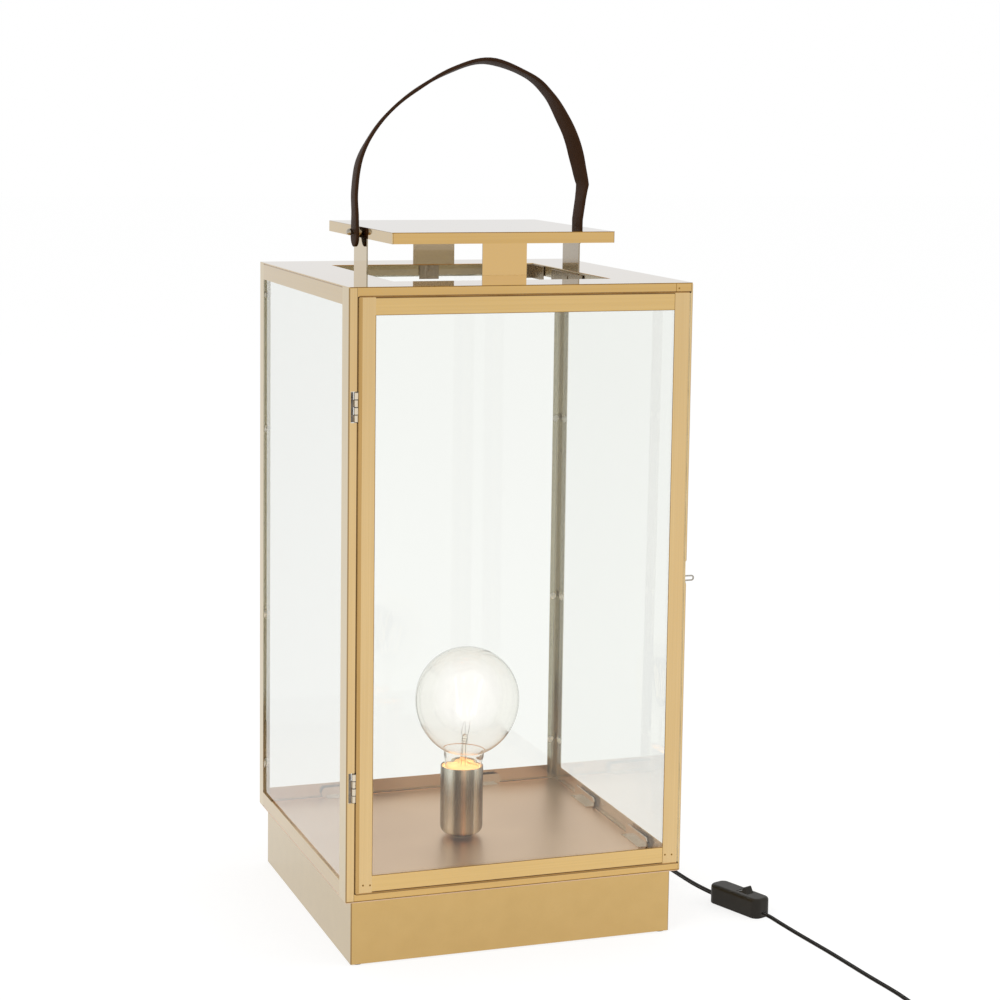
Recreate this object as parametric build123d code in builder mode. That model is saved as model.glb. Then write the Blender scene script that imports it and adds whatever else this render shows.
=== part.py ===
"""A glazed lantern table lamp in folded brass-coloured sheet, with a hinged door and a strap handle.

The door faces -Y, +Z is up, and the origin is on the floor under the middle of the cabinet.
All sizes are in millimetres.
"""

import os
from math import cos, pi, radians, sin, tan

from build123d import *

# ---- Driving dimensions -------------------------------------------------------------------

# Cabinet
cabinet_width = 305.0
cabinet_depth = 305.0
cabinet_height = 518.0
frame_sheet = 0.8
plate_sheet = 1.0
fold_radius = 1.2

# Plinth and feet
plinth_height = 58.0
plinth_inset = 6.5
plinth_flange = 14.0
foot_height = 1.0
foot_diameter = 11.0
floor_plate_margin = 0.6

# Posts and rails
strip_left = 8.0
strip_top = 7.0
strip_bottom = 6.5
stop_flange = 7.5
front_post_side = 20.0
back_post_side = 14.5
back_post_back = 12.0
bottom_rail_height = 13.5
top_rail_height = 14.5
front_stop_height = 8.0
hinge_notch_margin = 1.9

# Door
door_depth = 7.0
door_face = 14.5
door_gap = 0.5
door_side_gap = 0.4
door_glass_clip_height = 12.0
door_glass_clip_width = 7.0
door_glass_clip_margin = 55.0
door_glass_clip_fold = 0.9

# Glazing
glass_thickness = 3.0
glass_margin = 5.5
glass_top_gap = 4.0
pad_thickness = 1.0
pad_diameter = 6.0
pads_from_base = (40.0, 185.0)
pads_from_top = (156.0, 30.0)
clip_sheet = 1.0
bottom_clip_length = 50.0
bottom_clip_height = 10.0
bottom_clip_foot = 7.0
bottom_clip_spacing = 130.0
top_clip_length = 14.0
top_clip_height = 13.0
top_clip_foot = 11.0
top_clip_spacing = 100.0
clip_screw_diameter = 4.5
clip_screw_head = 1.4
clip_screw_spacing = 8.0

# Hinges: a pair of small butt hinges let into a notch of the left strip
hinge_height = 25.0
hinge_from_end = 86.0
hinge_leaf = 0.8
hinge_pin_diameter = 1.6
hinge_pin_clearance = 0.05
frame_knuckle_diameter = 3.2
door_knuckle_diameter = 3.8
knuckle_gap = 0.2
hinge_notch_gap = 0.4
hinge_screw_diameter = 2.0
hinge_screw_head = 0.5
hinge_screw_spacing = 14.0

# Catch: a leaf spring on the right side presses through a slot on the door's edge
catch_height = 266.5
catch_length = 59.0
catch_end = 20.0
catch_width = 3.8
catch_sheet = 0.8
catch_fold = 2.0
catch_bearing_gap = 0.35
catch_rivet_diameter = 2.6
catch_rivet_head = 0.7
pull_wire = 1.4
pull_leg_spacing = 4.0
pull_reach = 8.2
pull_setback = 2.2
pull_drop = 5.8
slot_height = 20.0
slot_depth = 7.2

# Top plate and raised cap
top_opening = 196.0
top_opening_flange = 10.0
cap_overhang = 2.5
cap_gap = 31.3
cap_thickness = 9.7
leg_width = 40.0
leg_sheet = 1.2
leg_flange = 12.0
leg_fold = 2.0

# Strap handle and its studs
strap_width = 20.0
strap_thickness = 3.0
strap_bore_clearance = 0.05
strap_below_stud = 13.0
strap_side_gap = 0.3
strap_rise = 150.6
stud_shank = 4.0
stud_collar = 8.0
stud_collar_length = 2.1
stud_ball = 6.0

# Lampholder and globe bulb
holder_diameter = 39.0
holder_height = 64.0
holder_corner = 8.0
holder_sheet = 1.0
holder_nut_diameter = 16.0
holder_nut_height = 2.0
nipple_diameter = 10.0
nipple_bore = 7.0
nipple_length = 22.0
hole_clearance = 0.1
locknut_flats = 14.0
locknut_height = 4.0
core_gap = 2.2
core_height = 55.0
socket_diameter = 27.8
socket_depth = 31.0
bulb_diameter = 95.0
bulb_centre_height = 128.0
bulb_neck_diameter = 36.4
bulb_wall = 1.0
bulb_lower_reach = 52.8
bulb_shoulder_angle = 67.0
bulb_mouth_diameter = 33.4
bulb_lean = 3.0
bulb_contact_gap = 0.35
bulb_contact_diameter = 10.0
bulb_cap_diameter = 26.2
bulb_cap_height = 27.0
stem_height = 37.0
stem_radius = 2.2
filament_low_drop = 14.0
filament_high_rise = 17.0
filament_low_radius = 8.0
filament_high_radius = 13.0
filament_wire = 0.8
filament_strands = 8

# Cord, its strain relief, its switch and its plug
cord_diameter = 4.2
gland_x = 70.0
gland_height = 12.0
gland_neck = 8.0
gland_flange = 11.0
gland_length = 28.0
switch_centre = (231.5, -110.5)
switch_heading = -70.5
switch_length = 62.0
switch_width = 20.0
switch_height = 18.0
switch_split = 8.0
switch_end_radius = 7.0
switch_cord_height = 5.0
rocker_length = 13.0
rocker_width = 8.0
rocker_offset = 7.0
rocker_pivot_height = 14.0
rocker_pivot_diameter = 2.0
rocker_travel = 14.0
rocker_gap = 0.9
rocker_side_gap = 0.3
coil_centre = (231.4, -408.0)
coil_mid_diameter = 47.0
coil_turns_across = 4
coil_layers = 2
coil_pitch = 4.6
plug_width = 35.0
plug_neck_width = 15.0
plug_thickness = 13.7
plug_length = 36.0
plug_heading = 150.0
pin_diameter = 4.0
pin_length = 19.0
pin_spacing = 18.6
tail_length = 26.0
cord_seat_gap = 0.5

# ---- Levels and faces that follow from them ------------------------------------------------

half_width = cabinet_width / 2
half_depth = cabinet_depth / 2
cabinet_base = plinth_height
cabinet_top = cabinet_base + cabinet_height
plate_underside = cabinet_top - plate_sheet
front = -half_depth
inner_side = half_width - frame_sheet
inner_back = half_depth - frame_sheet

strip_left_edge = -half_width + strip_left
hem = 2 * frame_sheet + 0.1
hem_inner = half_width - hem
stop_front = front + door_depth + door_gap
stop_back = stop_front + frame_sheet
door_bottom = cabinet_base + strip_bottom + door_gap
door_top = plate_underside - strip_top - door_gap
door_left = strip_left_edge + door_side_gap
door_right = hem_inner - door_gap
door_back = front + door_depth

glass_outer_side = inner_side - pad_thickness
glass_inner_side = glass_outer_side - glass_thickness
glass_outer_back = inner_back - pad_thickness
glass_inner_back = glass_outer_back - glass_thickness
glass_bottom = cabinet_base + frame_sheet
glass_top = plate_underside - glass_top_gap

cap_top = cabinet_top + cap_gap + cap_thickness
cap_width = top_opening + 2 * cap_overhang
cap_half = cap_width / 2
cap_underside = cap_top - plate_sheet
stud_height = cap_top - cap_thickness / 2
strap_face = cap_half + stud_collar_length + strap_side_gap


# ---- Helpers -------------------------------------------------------------------------------


def folded(plane, points, length, thickness=frame_sheet, radius=fold_radius):
    """A strip of sheet folded along the centreline points, extruded along the plane's normal."""
    with BuildPart() as strip:
        with BuildSketch(plane):
            with BuildLine():
                if len(points) > 2:
                    FilletPolyline(*points, radius=radius - thickness / 2)
                else:
                    Line(*points)
            trace(line_width=thickness)
        extrude(amount=length)
    return strip.part


def save(part, name):
    """Label a finished sub-part and write it as its own STEP file."""
    part.label = name
    export_step(part, f"parts/{name}.step")


def corner_radii(points):
    """The largest even bend at each inner point of a cord's route."""
    radii = []
    for before, at, after in zip(points, points[1:], points[2:]):
        arriving = Vector(*at) - Vector(*before)
        leaving = Vector(*after) - Vector(*at)
        shorter = min(arriving.length, leaving.length)
        half_turn = radians(arriving.get_angle(leaving) / 2)
        radii.append(0.45 * shorter / tan(half_turn))
    return radii


def cord_tube(points):
    """A plain round cord along straight runs joined by tangent arcs."""
    radii = corner_radii(points)
    with BuildPart() as tube:
        with BuildLine() as path:
            FilletPolyline(*points, radius=radii)
        with BuildSketch(Plane(origin=path.wires()[0] @ 0, z_dir=path.wires()[0] % 0)):
            Circle(cord_diameter / 2)
        sweep()
    length = path.wires()[0].length
    section = pi * cord_diameter**2 / 4
    print("cord", round(length, 1), "fill", round(tube.part.volume / (section * length), 4))
    print("  radii", [round(radius) for radius in radii])
    return tube.part


os.makedirs("parts", exist_ok=True)

# ---- Plinth --------------------------------------------------------------------------------

plinth_width = cabinet_width - 2 * plinth_inset
plinth_depth = cabinet_depth - 2 * plinth_inset
plinth_back = plinth_depth / 2
plinth_body = plinth_height - plate_sheet - foot_height

with BuildPart() as plinth:
    with BuildSketch(Plane.XY.offset(foot_height)):
        Rectangle(plinth_width, plinth_depth)
    extrude(amount=plinth_body)
    fillet(plinth.edges().filter_by(Axis.Z), radius=fold_radius)
    with BuildSketch(Plane.XY.offset(foot_height + plate_sheet)):
        Rectangle(plinth_width - 2 * plate_sheet, plinth_depth - 2 * plate_sheet)
    extrude(amount=plinth_body - 2 * plate_sheet, mode=Mode.SUBTRACT)
    with BuildSketch(Plane.XY.offset(foot_height)):
        Rectangle(plinth_width - 2 * plinth_flange, plinth_depth - 2 * plinth_flange)
    extrude(amount=plinth_body, mode=Mode.SUBTRACT)
    with BuildSketch(Plane.XZ.offset(-plinth_back)):
        with Locations((gland_x, gland_height)):
            Circle(gland_neck / 2 + hole_clearance)
    extrude(amount=2 * plate_sheet, mode=Mode.SUBTRACT)
save(plinth.part, "plinth")

with BuildPart() as foot_pads:
    with BuildSketch():
        with GridLocations(plinth_width - plinth_flange, plinth_depth - plinth_flange, 2, 2):
            Circle(foot_diameter / 2)
    extrude(amount=foot_height)
save(foot_pads.part, "foot_pads")

with BuildPart() as floor_plate:
    with BuildSketch(Plane.XY.offset(plinth_height - plate_sheet)):
        Rectangle(cabinet_width - 2 * floor_plate_margin, cabinet_depth - 2 * floor_plate_margin)
        Circle(nipple_diameter / 2 + hole_clearance, mode=Mode.SUBTRACT)
    extrude(amount=plate_sheet)
save(floor_plate.part, "floor_plate")

# ---- Cabinet posts -------------------------------------------------------------------------

post_height = plate_underside - cabinet_base
half_sheet = frame_sheet / 2
stop_bottom = cabinet_base + strip_bottom + front_stop_height
stop_top = plate_underside - strip_top - front_stop_height
hinge_heights = (cabinet_base + hinge_from_end + hinge_height / 2,
                 cabinet_top - hinge_from_end - hinge_height / 2)

with BuildPart() as post_front_left:
    with BuildSketch(Plane.XY.offset(cabinet_base)):
        with BuildLine():
            FilletPolyline(
                (-half_width + half_sheet, front + front_post_side),
                (-half_width + half_sheet, front + half_sheet),
                (strip_left_edge - half_sheet, front + half_sheet),
                (strip_left_edge - half_sheet, stop_front + half_sheet),
                (strip_left_edge + stop_flange, stop_front + half_sheet),
                radius=fold_radius - half_sheet,
            )
        trace(line_width=frame_sheet)
    extrude(amount=post_height)
    # the stop flange ends where the front rails' own stops begin
    for low, high in ((cabinet_base, stop_bottom), (stop_top, plate_underside)):
        with BuildSketch(Plane.XY.offset(low)):
            with Locations((strip_left_edge + stop_flange, stop_front)):
                Rectangle(2 * stop_flange, 4 * door_gap + 2 * frame_sheet)
        extrude(amount=high - low, mode=Mode.SUBTRACT)
    # the strip and its return are cut out for each hinge
    for height in hinge_heights:
        with BuildSketch(Plane.XY.offset(height - hinge_height / 2 - hinge_notch_gap)):
            with Locations((-half_width + hinge_notch_margin, front)):
                Rectangle(strip_left, door_depth, align=(Align.MIN, Align.MIN))
        extrude(amount=hinge_height + 2 * hinge_notch_gap, mode=Mode.SUBTRACT)
save(post_front_left.part, "post_front_left")

with BuildPart() as post_front_right:
    with BuildSketch(Plane.XY.offset(cabinet_base)):
        with BuildLine():
            Polyline(
                (half_width, front + front_post_side),
                (half_width, front),
                (hem_inner, front),
                (hem_inner, stop_front),
                (hem_inner - stop_flange - half_sheet, stop_front),
                (hem_inner - stop_flange - half_sheet, stop_back),
                (inner_side, stop_back),
                (inner_side, front + front_post_side),
                close=True,
            )
        make_face()
    extrude(amount=post_height)
    fillet(post_front_right.edges().filter_by(Axis.Z).group_by(Axis.Y)[0], radius=hem / 3)
    for low, high in ((cabinet_base, stop_bottom), (stop_top, plate_underside)):
        with BuildSketch(Plane.XY.offset(low)):
            with Locations((hem_inner, stop_front)):
                Rectangle(2 * stop_flange, 2 * frame_sheet, align=(Align.MAX, Align.CENTER))
        extrude(amount=high - low, mode=Mode.SUBTRACT)
    # a slot from the front edge lets the catch spring and the pull loop through
    with BuildSketch(Plane.XY.offset(cabinet_base + catch_height - slot_height / 2)):
        with Locations((half_width, front)):
            Rectangle(2 * hem, 2 * slot_depth)
    extrude(amount=slot_height, mode=Mode.SUBTRACT)
save(post_front_right.part, "post_front_right")

for side, name in ((-1, "post_back_left"), (1, "post_back_right")):
    post_back = folded(
        Plane.XY.offset(cabinet_base),
        [
            (side * (half_width - half_sheet), half_depth - back_post_side),
            (side * (half_width - half_sheet), half_depth - half_sheet),
            (side * (half_width - back_post_back), half_depth - half_sheet),
        ],
        post_height,
    )
    save(post_back, name)

# ---- Cabinet rails -------------------------------------------------------------------------

side_rail_start = front + front_post_side
side_rail_length = cabinet_depth - front_post_side - back_post_side
back_rail_length = cabinet_width - 2 * back_post_back
front_rail_start = strip_left_edge
front_rail_length = hem_inner - strip_left_edge

bottom_rail_profile = [
    (glass_inner_side, cabinet_base + half_sheet),
    (half_width - half_sheet, cabinet_base + half_sheet),
    (half_width - half_sheet, cabinet_base + bottom_rail_height),
]
top_rail_profile = [
    (glass_inner_side, plate_underside - half_sheet),
    (half_width - half_sheet, plate_underside - half_sheet),
    (half_width - half_sheet, plate_underside - top_rail_height),
]

side_plane = Plane((0, side_rail_start, 0), x_dir=(1, 0, 0), z_dir=(0, 1, 0))
for profile, name in ((bottom_rail_profile, "bottom_rail"), (top_rail_profile, "top_rail")):
    # on this plane the second coordinate runs down, so heights are turned over
    right_points = [(x, -z) for x, z in profile]
    left_points = [(-x, -z) for x, z in profile]
    save(folded(side_plane, right_points, side_rail_length), f"{name}_right")
    save(folded(side_plane, left_points, side_rail_length), f"{name}_left")
    back_plane = Plane((-back_rail_length / 2, 0, 0), x_dir=(0, 1, 0), z_dir=(1, 0, 0))
    back_points = [(x - half_width + half_depth, z) for x, z in profile]
    save(folded(back_plane, back_points, back_rail_length), f"{name}_back")

front_plane = Plane((front_rail_start, 0, 0), x_dir=(0, 1, 0), z_dir=(1, 0, 0))
bottom_rail_front = folded(
    front_plane,
    [
        (stop_front + half_sheet, stop_bottom),
        (stop_front + half_sheet, cabinet_base + strip_bottom - half_sheet),
        (front + half_sheet, cabinet_base + strip_bottom - half_sheet),
        (front + half_sheet, cabinet_base),
    ],
    front_rail_length,
)
save(bottom_rail_front, "bottom_rail_front")
top_rail_front = folded(
    front_plane,
    [
        (stop_front + half_sheet, stop_top),
        (stop_front + half_sheet, plate_underside - strip_top + half_sheet),
        (front + half_sheet, plate_underside - strip_top + half_sheet),
        (front + half_sheet, plate_underside),
    ],
    front_rail_length,
)
save(top_rail_front, "top_rail_front")

# ---- Top plate, legs and cap ---------------------------------------------------------------

with BuildPart() as top_plate:
    with BuildSketch(Plane.XY.offset(plate_underside)):
        RectangleRounded(cabinet_width, cabinet_depth, fold_radius)
    extrude(amount=plate_sheet)
    with BuildSketch(Plane.XY.offset(cabinet_top - top_opening_flange)):
        Rectangle(top_opening + 2 * plate_sheet, top_opening + 2 * plate_sheet)
    extrude(amount=top_opening_flange)
    with BuildSketch(Plane.XY.offset(cabinet_top - top_opening_flange)):
        Rectangle(top_opening, top_opening)
    extrude(amount=top_opening_flange, mode=Mode.SUBTRACT)
    rim = top_plate.faces().sort_by(Axis.Z)[-1].inner_wires()[0]
    fillet(rim.edges(), radius=plate_sheet * 0.8)
save(top_plate.part, "top_plate")

with BuildPart() as cap_plate:
    with BuildSketch(Plane.XY.offset(cap_top - cap_thickness)):
        RectangleRounded(cap_width, cap_width, fold_radius)
    extrude(amount=cap_thickness)
    fillet(cap_plate.faces().sort_by(Axis.Z)[-1].edges(), radius=fold_radius / 2)
    with BuildSketch(Plane.XY.offset(cap_top - cap_thickness)):
        Rectangle(cap_width - 2 * plate_sheet, cap_width - 2 * plate_sheet)
    extrude(amount=cap_thickness - plate_sheet, mode=Mode.SUBTRACT)
    with BuildSketch(Plane.YZ):
        with Locations((0, stud_height)):
            Circle(stud_shank / 2 + hole_clearance)
    extrude(amount=cap_width, both=True, mode=Mode.SUBTRACT)
save(cap_plate.part, "cap_plate")

leg_outer = cap_half - plate_sheet
leg_points = [
    (leg_outer - leg_sheet / 2, cabinet_top),
    (leg_outer - leg_sheet / 2, cap_underside - leg_sheet / 2),
    (leg_outer - leg_flange, cap_underside - leg_sheet / 2),
]
leg_facings = (("front", (0, -1, 0)), ("back", (0, 1, 0)), ("left", (-1, 0, 0)), ("right", (1, 0, 0)))
for name, outward in leg_facings:
    across = Vector(*outward).cross(Vector(0, 0, 1))
    leg_plane = Plane(origin=across * (-leg_width / 2), x_dir=outward, z_dir=across)
    local_up = -1 if leg_plane.y_dir.Z < 0 else 1
    leg = folded(leg_plane, [(x, z * local_up) for x, z in leg_points], leg_width, leg_sheet, leg_fold)
    if name in ("left", "right"):
        with BuildPart() as bored:
            add(leg)
            with BuildSketch(Plane.YZ):
                with Locations((0, stud_height)):
                    Circle(stud_shank / 2 + hole_clearance)
            extrude(amount=cap_width, both=True, mode=Mode.SUBTRACT)
        leg = bored.part
    save(leg, f"cap_leg_{name}")

# ---- Strap handle and its studs ------------------------------------------------------------

with BuildPart() as handle_studs:
    for side in (-1, 1):
        stud_start = leg_outer - leg_sheet
        ball_centre = strap_face + strap_thickness + strap_side_gap + stud_ball / 2
        shank_plane = Plane(
            origin=(side * stud_start, 0, stud_height), x_dir=(0, 1, 0), z_dir=(side, 0, 0)
        )
        with BuildSketch(shank_plane):
            Circle(stud_shank / 2)
        extrude(amount=ball_centre - stud_start)
        with BuildSketch(shank_plane.offset(cap_half - stud_start)):
            Circle(stud_collar / 2)
        extrude(amount=stud_collar_length)
        with Locations((side * ball_centre, 0, stud_height)):
            Sphere(stud_ball / 2)
save(handle_studs.part, "handle_studs")

strap_centre = strap_face + strap_thickness / 2
strap_end = stud_height - strap_below_stud
crown = stud_height + strap_rise
with BuildPart() as handle_strap:
    with BuildSketch(Plane.XZ):
        with BuildLine():
            left_run = Line((-strap_centre, strap_end), (-strap_centre, stud_height + 35))
            arch = Spline(
                left_run @ 1,
                (-strap_centre + 3.3, crown - 88.1),
                (-strap_centre + 13.3, crown - 65),
                (-strap_centre + 29.7, crown - 45),
                (-strap_centre + 54.1, crown - 27.2),
                (-strap_centre + 86, crown - 9.2),
                (16.4, crown),
                (strap_centre - 49.9, crown - 12.8),
                (strap_centre - 29.3, crown - 27.9),
                (strap_centre - 14.7, crown - 46.7),
                (strap_centre - 2.8, crown - 70.6),
                (strap_centre + 4.3, crown - 109.1),
                tangents=[(0, 1), (-0.05, -1)],
            )
            crease = Line(arch @ 1, (strap_centre, stud_height + 10))
            Line(crease @ 1, (strap_centre, strap_end))
        trace(line_width=strap_thickness)
    extrude(amount=strap_width / 2, both=True)
    # both ends are cut round, nearly as wide as the strap
    end_corners = handle_strap.edges().filter_by(Axis.X).group_by(Axis.Z)[0]
    fillet(end_corners, radius=strap_width * 0.49)
    with BuildSketch(Plane.YZ):
        with Locations((0, stud_height)):
            Circle(stud_shank / 2 + strap_bore_clearance)
    extrude(amount=cabinet_width, both=True, mode=Mode.SUBTRACT)
save(handle_strap.part, "handle_strap")

# ---- Glazing and its clips -----------------------------------------------------------------

glass_height = glass_top - glass_bottom
side_glass_length = cabinet_depth - 2 * glass_margin
back_glass_length = cabinet_width - 2 * glass_margin
for side, name in ((-1, "glass_left"), (1, "glass_right")):
    with BuildPart() as pane:
        with BuildSketch(Plane.XY.offset(glass_bottom)):
            with Locations((side * (glass_outer_side - glass_thickness / 2), 0)):
                Rectangle(glass_thickness, side_glass_length - 2 * glass_thickness)
        extrude(amount=glass_height)
    save(pane.part, name)

with BuildPart() as glass_back:
    with BuildSketch(Plane.XY.offset(glass_bottom)):
        with Locations((0, glass_outer_back - glass_thickness / 2)):
            Rectangle(back_glass_length - 2 * glass_thickness, glass_thickness)
    extrude(amount=glass_height)
save(glass_back.part, "glass_back")

pad_side_y = half_depth - back_post_side + pad_diameter / 2
pad_front_y = front + front_post_side - pad_diameter / 2
pad_back_x = half_width - back_post_back + pad_diameter / 2
pad_heights = [cabinet_base + rise for rise in pads_from_base]
pad_heights += [cabinet_top - drop for drop in pads_from_top]
with BuildPart() as glass_pads:
    for side in (-1, 1):
        pad_plane = Plane(
            origin=(side * glass_outer_side, 0, 0), x_dir=(0, side, 0), z_dir=(side, 0, 0)
        )
        for height in pad_heights:
            with BuildSketch(pad_plane):
                with Locations((side * pad_side_y, height), (side * pad_front_y, height)):
                    Circle(pad_diameter / 2)
            extrude(amount=pad_thickness)
            with BuildSketch(Plane.XZ.offset(-glass_outer_back)):
                with Locations((side * pad_back_x, height)):
                    Circle(pad_diameter / 2)
            extrude(amount=-pad_thickness)
save(glass_pads.part, "glass_pads")

# (a point on the pane's inner face, the way into the cabinet, the way along the pane)
clip_walls = (
    ((glass_inner_side, 0), (-1, 0, 0), (0, 1, 0)),
    ((-glass_inner_side, 0), (1, 0, 0), (0, 1, 0)),
    ((0, glass_inner_back), (0, -1, 0), (1, 0, 0)),
)
with BuildPart() as glass_clips_bottom:
    for (x, y), inward, along in clip_walls:
        for shift in (-bottom_clip_spacing / 2, bottom_clip_spacing / 2):
            centre = Vector(x, y, cabinet_base) + Vector(*along) * shift
            tab_plane = Plane(origin=centre, x_dir=along, z_dir=inward)
            upright = 1 if tab_plane.y_dir.Z > 0 else -1
            with BuildSketch(tab_plane):
                with Locations((0, upright * bottom_clip_height / 2)):
                    RectangleRounded(bottom_clip_length, bottom_clip_height, bottom_clip_height * 0.45)
            extrude(amount=clip_sheet)
            foot_centre = centre + Vector(*inward) * (bottom_clip_foot / 2)
            foot_length = bottom_clip_length - bottom_clip_height
            with BuildSketch(Plane(origin=foot_centre, x_dir=along, z_dir=(0, 0, 1))):
                Rectangle(foot_length, bottom_clip_foot)
            extrude(amount=clip_sheet)
save(glass_clips_bottom.part, "glass_clips_bottom")

with BuildPart() as glass_clips_top:
    for (x, y), inward, along in clip_walls:
        for shift in (0, top_clip_spacing):
            centre = Vector(x, y, plate_underside) + Vector(*along) * shift
            tab_plane = Plane(origin=centre, x_dir=along, z_dir=inward)
            downward = -1 if tab_plane.y_dir.Z > 0 else 1
            with BuildSketch(tab_plane):
                with Locations((0, downward * top_clip_height / 2)):
                    RectangleRounded(top_clip_length, top_clip_height, clip_sheet * 0.9)
            extrude(amount=clip_sheet)
            foot_centre = centre + Vector(*inward) * (top_clip_foot / 2) - Vector(0, 0, clip_sheet)
            foot_length = top_clip_length + 2 * clip_screw_spacing - top_clip_length / 2
            with BuildSketch(Plane(origin=foot_centre, x_dir=along, z_dir=(0, 0, 1))):
                Rectangle(foot_length, top_clip_foot)
            extrude(amount=clip_sheet)
save(glass_clips_top.part, "glass_clips_top")

# ---- Door ----------------------------------------------------------------------------------

door_height = door_top - door_bottom
stile_plane = Plane.XY.offset(door_bottom)
stile_left_profile = [
    (door_left + door_face, front + half_sheet),
    (door_left + half_sheet, front + half_sheet),
    (door_left + half_sheet, door_back),
]
save(folded(stile_plane, stile_left_profile, door_height), "door_stile_left")
stile_right_profile = [
    (door_right - door_face, front + half_sheet),
    (door_right - half_sheet, front + half_sheet),
    (door_right - half_sheet, door_back),
]
with BuildPart() as door_stile_right:
    add(folded(stile_plane, stile_right_profile, door_height))
    # two holes for the legs of the pull loop
    with BuildSketch(Plane.YZ.offset(door_right - door_face / 2)):
        pull_level = cabinet_base + catch_height - pull_drop
        pull_y = front + pull_setback
        with Locations(
            (pull_y, pull_level - pull_leg_spacing / 2), (pull_y, pull_level + pull_leg_spacing / 2)
        ):
            Circle(pull_wire / 2 + 0.05)
    extrude(amount=door_face, mode=Mode.SUBTRACT)
save(door_stile_right.part, "door_stile_right")

rail_plane = Plane((door_left + door_face, 0, 0), x_dir=(0, 1, 0), z_dir=(1, 0, 0))
door_rail_length = door_right - door_left - 2 * door_face
for edge, toward, name in ((door_bottom, 1, "door_rail_bottom"), (door_top, -1, "door_rail_top")):
    rail_profile = [
        (front + half_sheet, edge + toward * door_face),
        (front + half_sheet, edge + toward * half_sheet),
        (door_back, edge + toward * half_sheet),
    ]
    save(folded(rail_plane, rail_profile, door_rail_length), name)

door_glass_front = front + frame_sheet
door_glass_back = door_glass_front + glass_thickness
with BuildPart() as door_glass:
    with BuildSketch(Plane.XZ.offset(-door_glass_front)):
        with Locations(((door_left + door_right) / 2, (door_bottom + door_top) / 2)):
            Rectangle(
                door_right - door_left - 4 * frame_sheet, door_height - 4 * frame_sheet
            )
    extrude(amount=-glass_thickness)
save(door_glass.part, "door_glass")

clip_levels = (
    door_bottom + door_glass_clip_margin,
    (door_bottom + door_top) / 2,
    door_top - door_glass_clip_margin,
)
with BuildPart() as door_glass_clips:
    for edge, toward in ((door_left + frame_sheet, 1), (door_right - frame_sheet, -1)):
        for level in clip_levels:
            clip = folded(
                Plane.XY.offset(level - door_glass_clip_height / 2),
                [
                    (edge + toward * door_glass_clip_width, door_glass_back + half_sheet),
                    (edge + toward * half_sheet, door_glass_back + half_sheet),
                    (edge + toward * half_sheet, door_back - half_sheet),
                ],
                door_glass_clip_height,
                radius=door_glass_clip_fold,
            )
            add(clip)
save(door_glass_clips.part, "door_glass_clips")

# ---- Hinges --------------------------------------------------------------------------------

frame_knuckle = frame_knuckle_diameter / 2
door_knuckle = door_knuckle_diameter / 2
hinge_x = door_left - door_knuckle
frame_leaf_back = front + frame_sheet + hinge_leaf
hinge_y = frame_leaf_back - frame_knuckle
frame_leaf_left = -half_width + fold_radius + 0.1
frame_leaf_right = hinge_x - door_knuckle - 0.3
knuckle_length = hinge_height / 4
print("hinge axis", round(hinge_x, 3), round(hinge_y, 3))

with BuildPart() as hinge_frame_leaves:
    for middle in hinge_heights:
        low = middle - hinge_height / 2
        with BuildSketch(Plane.XY.offset(low)):
            with Locations((frame_leaf_left, frame_leaf_back - hinge_leaf)):
                Rectangle(
                    frame_leaf_right - frame_leaf_left, hinge_leaf, align=(Align.MIN, Align.MIN)
                )
        extrude(amount=hinge_height)
        for turn in (0, 2):
            knuckle_low = low + turn * knuckle_length
            with BuildSketch(Plane.XY.offset(knuckle_low)):
                with Locations((frame_leaf_right, frame_leaf_back - hinge_leaf)):
                    Rectangle(hinge_x - frame_leaf_right, hinge_leaf, align=(Align.MIN, Align.MIN))
                with Locations((hinge_x, hinge_y)):
                    Circle(frame_knuckle)
                    Circle(hinge_pin_diameter / 2 + 0.02, mode=Mode.SUBTRACT)
            extrude(amount=knuckle_length - knuckle_gap / 2)
save(hinge_frame_leaves.part, "hinge_frame_leaves")

with BuildPart() as hinge_door_leaves:
    for middle in hinge_heights:
        low = middle - hinge_height / 2
        leaf_start = hinge_y + frame_knuckle + 0.4
        with BuildSketch(Plane.XY.offset(low)):
            with Locations((door_left - hinge_leaf, leaf_start)):
                Rectangle(hinge_leaf, door_back - leaf_start, align=(Align.MIN, Align.MIN))
        extrude(amount=hinge_height)
        for turn in (1, 3):
            knuckle_low = low + turn * knuckle_length
            with BuildSketch(Plane.XY.offset(knuckle_low)):
                with Locations((door_left - hinge_leaf, hinge_y)):
                    Rectangle(hinge_leaf, leaf_start - hinge_y, align=(Align.MIN, Align.MIN))
                with Locations((hinge_x, hinge_y)):
                    Circle(door_knuckle)
                    Circle(hinge_pin_diameter / 2 + hinge_pin_clearance, mode=Mode.SUBTRACT)
            extrude(amount=knuckle_length - knuckle_gap / 2)
save(hinge_door_leaves.part, "hinge_door_leaves")

with BuildPart() as hinge_pins:
    for middle in hinge_heights:
        with BuildSketch(Plane.XY.offset(middle - hinge_height / 2)):
            with Locations((hinge_x, hinge_y)):
                Circle(hinge_pin_diameter / 2)
        extrude(amount=hinge_height)
save(hinge_pins.part, "hinge_pins")

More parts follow.
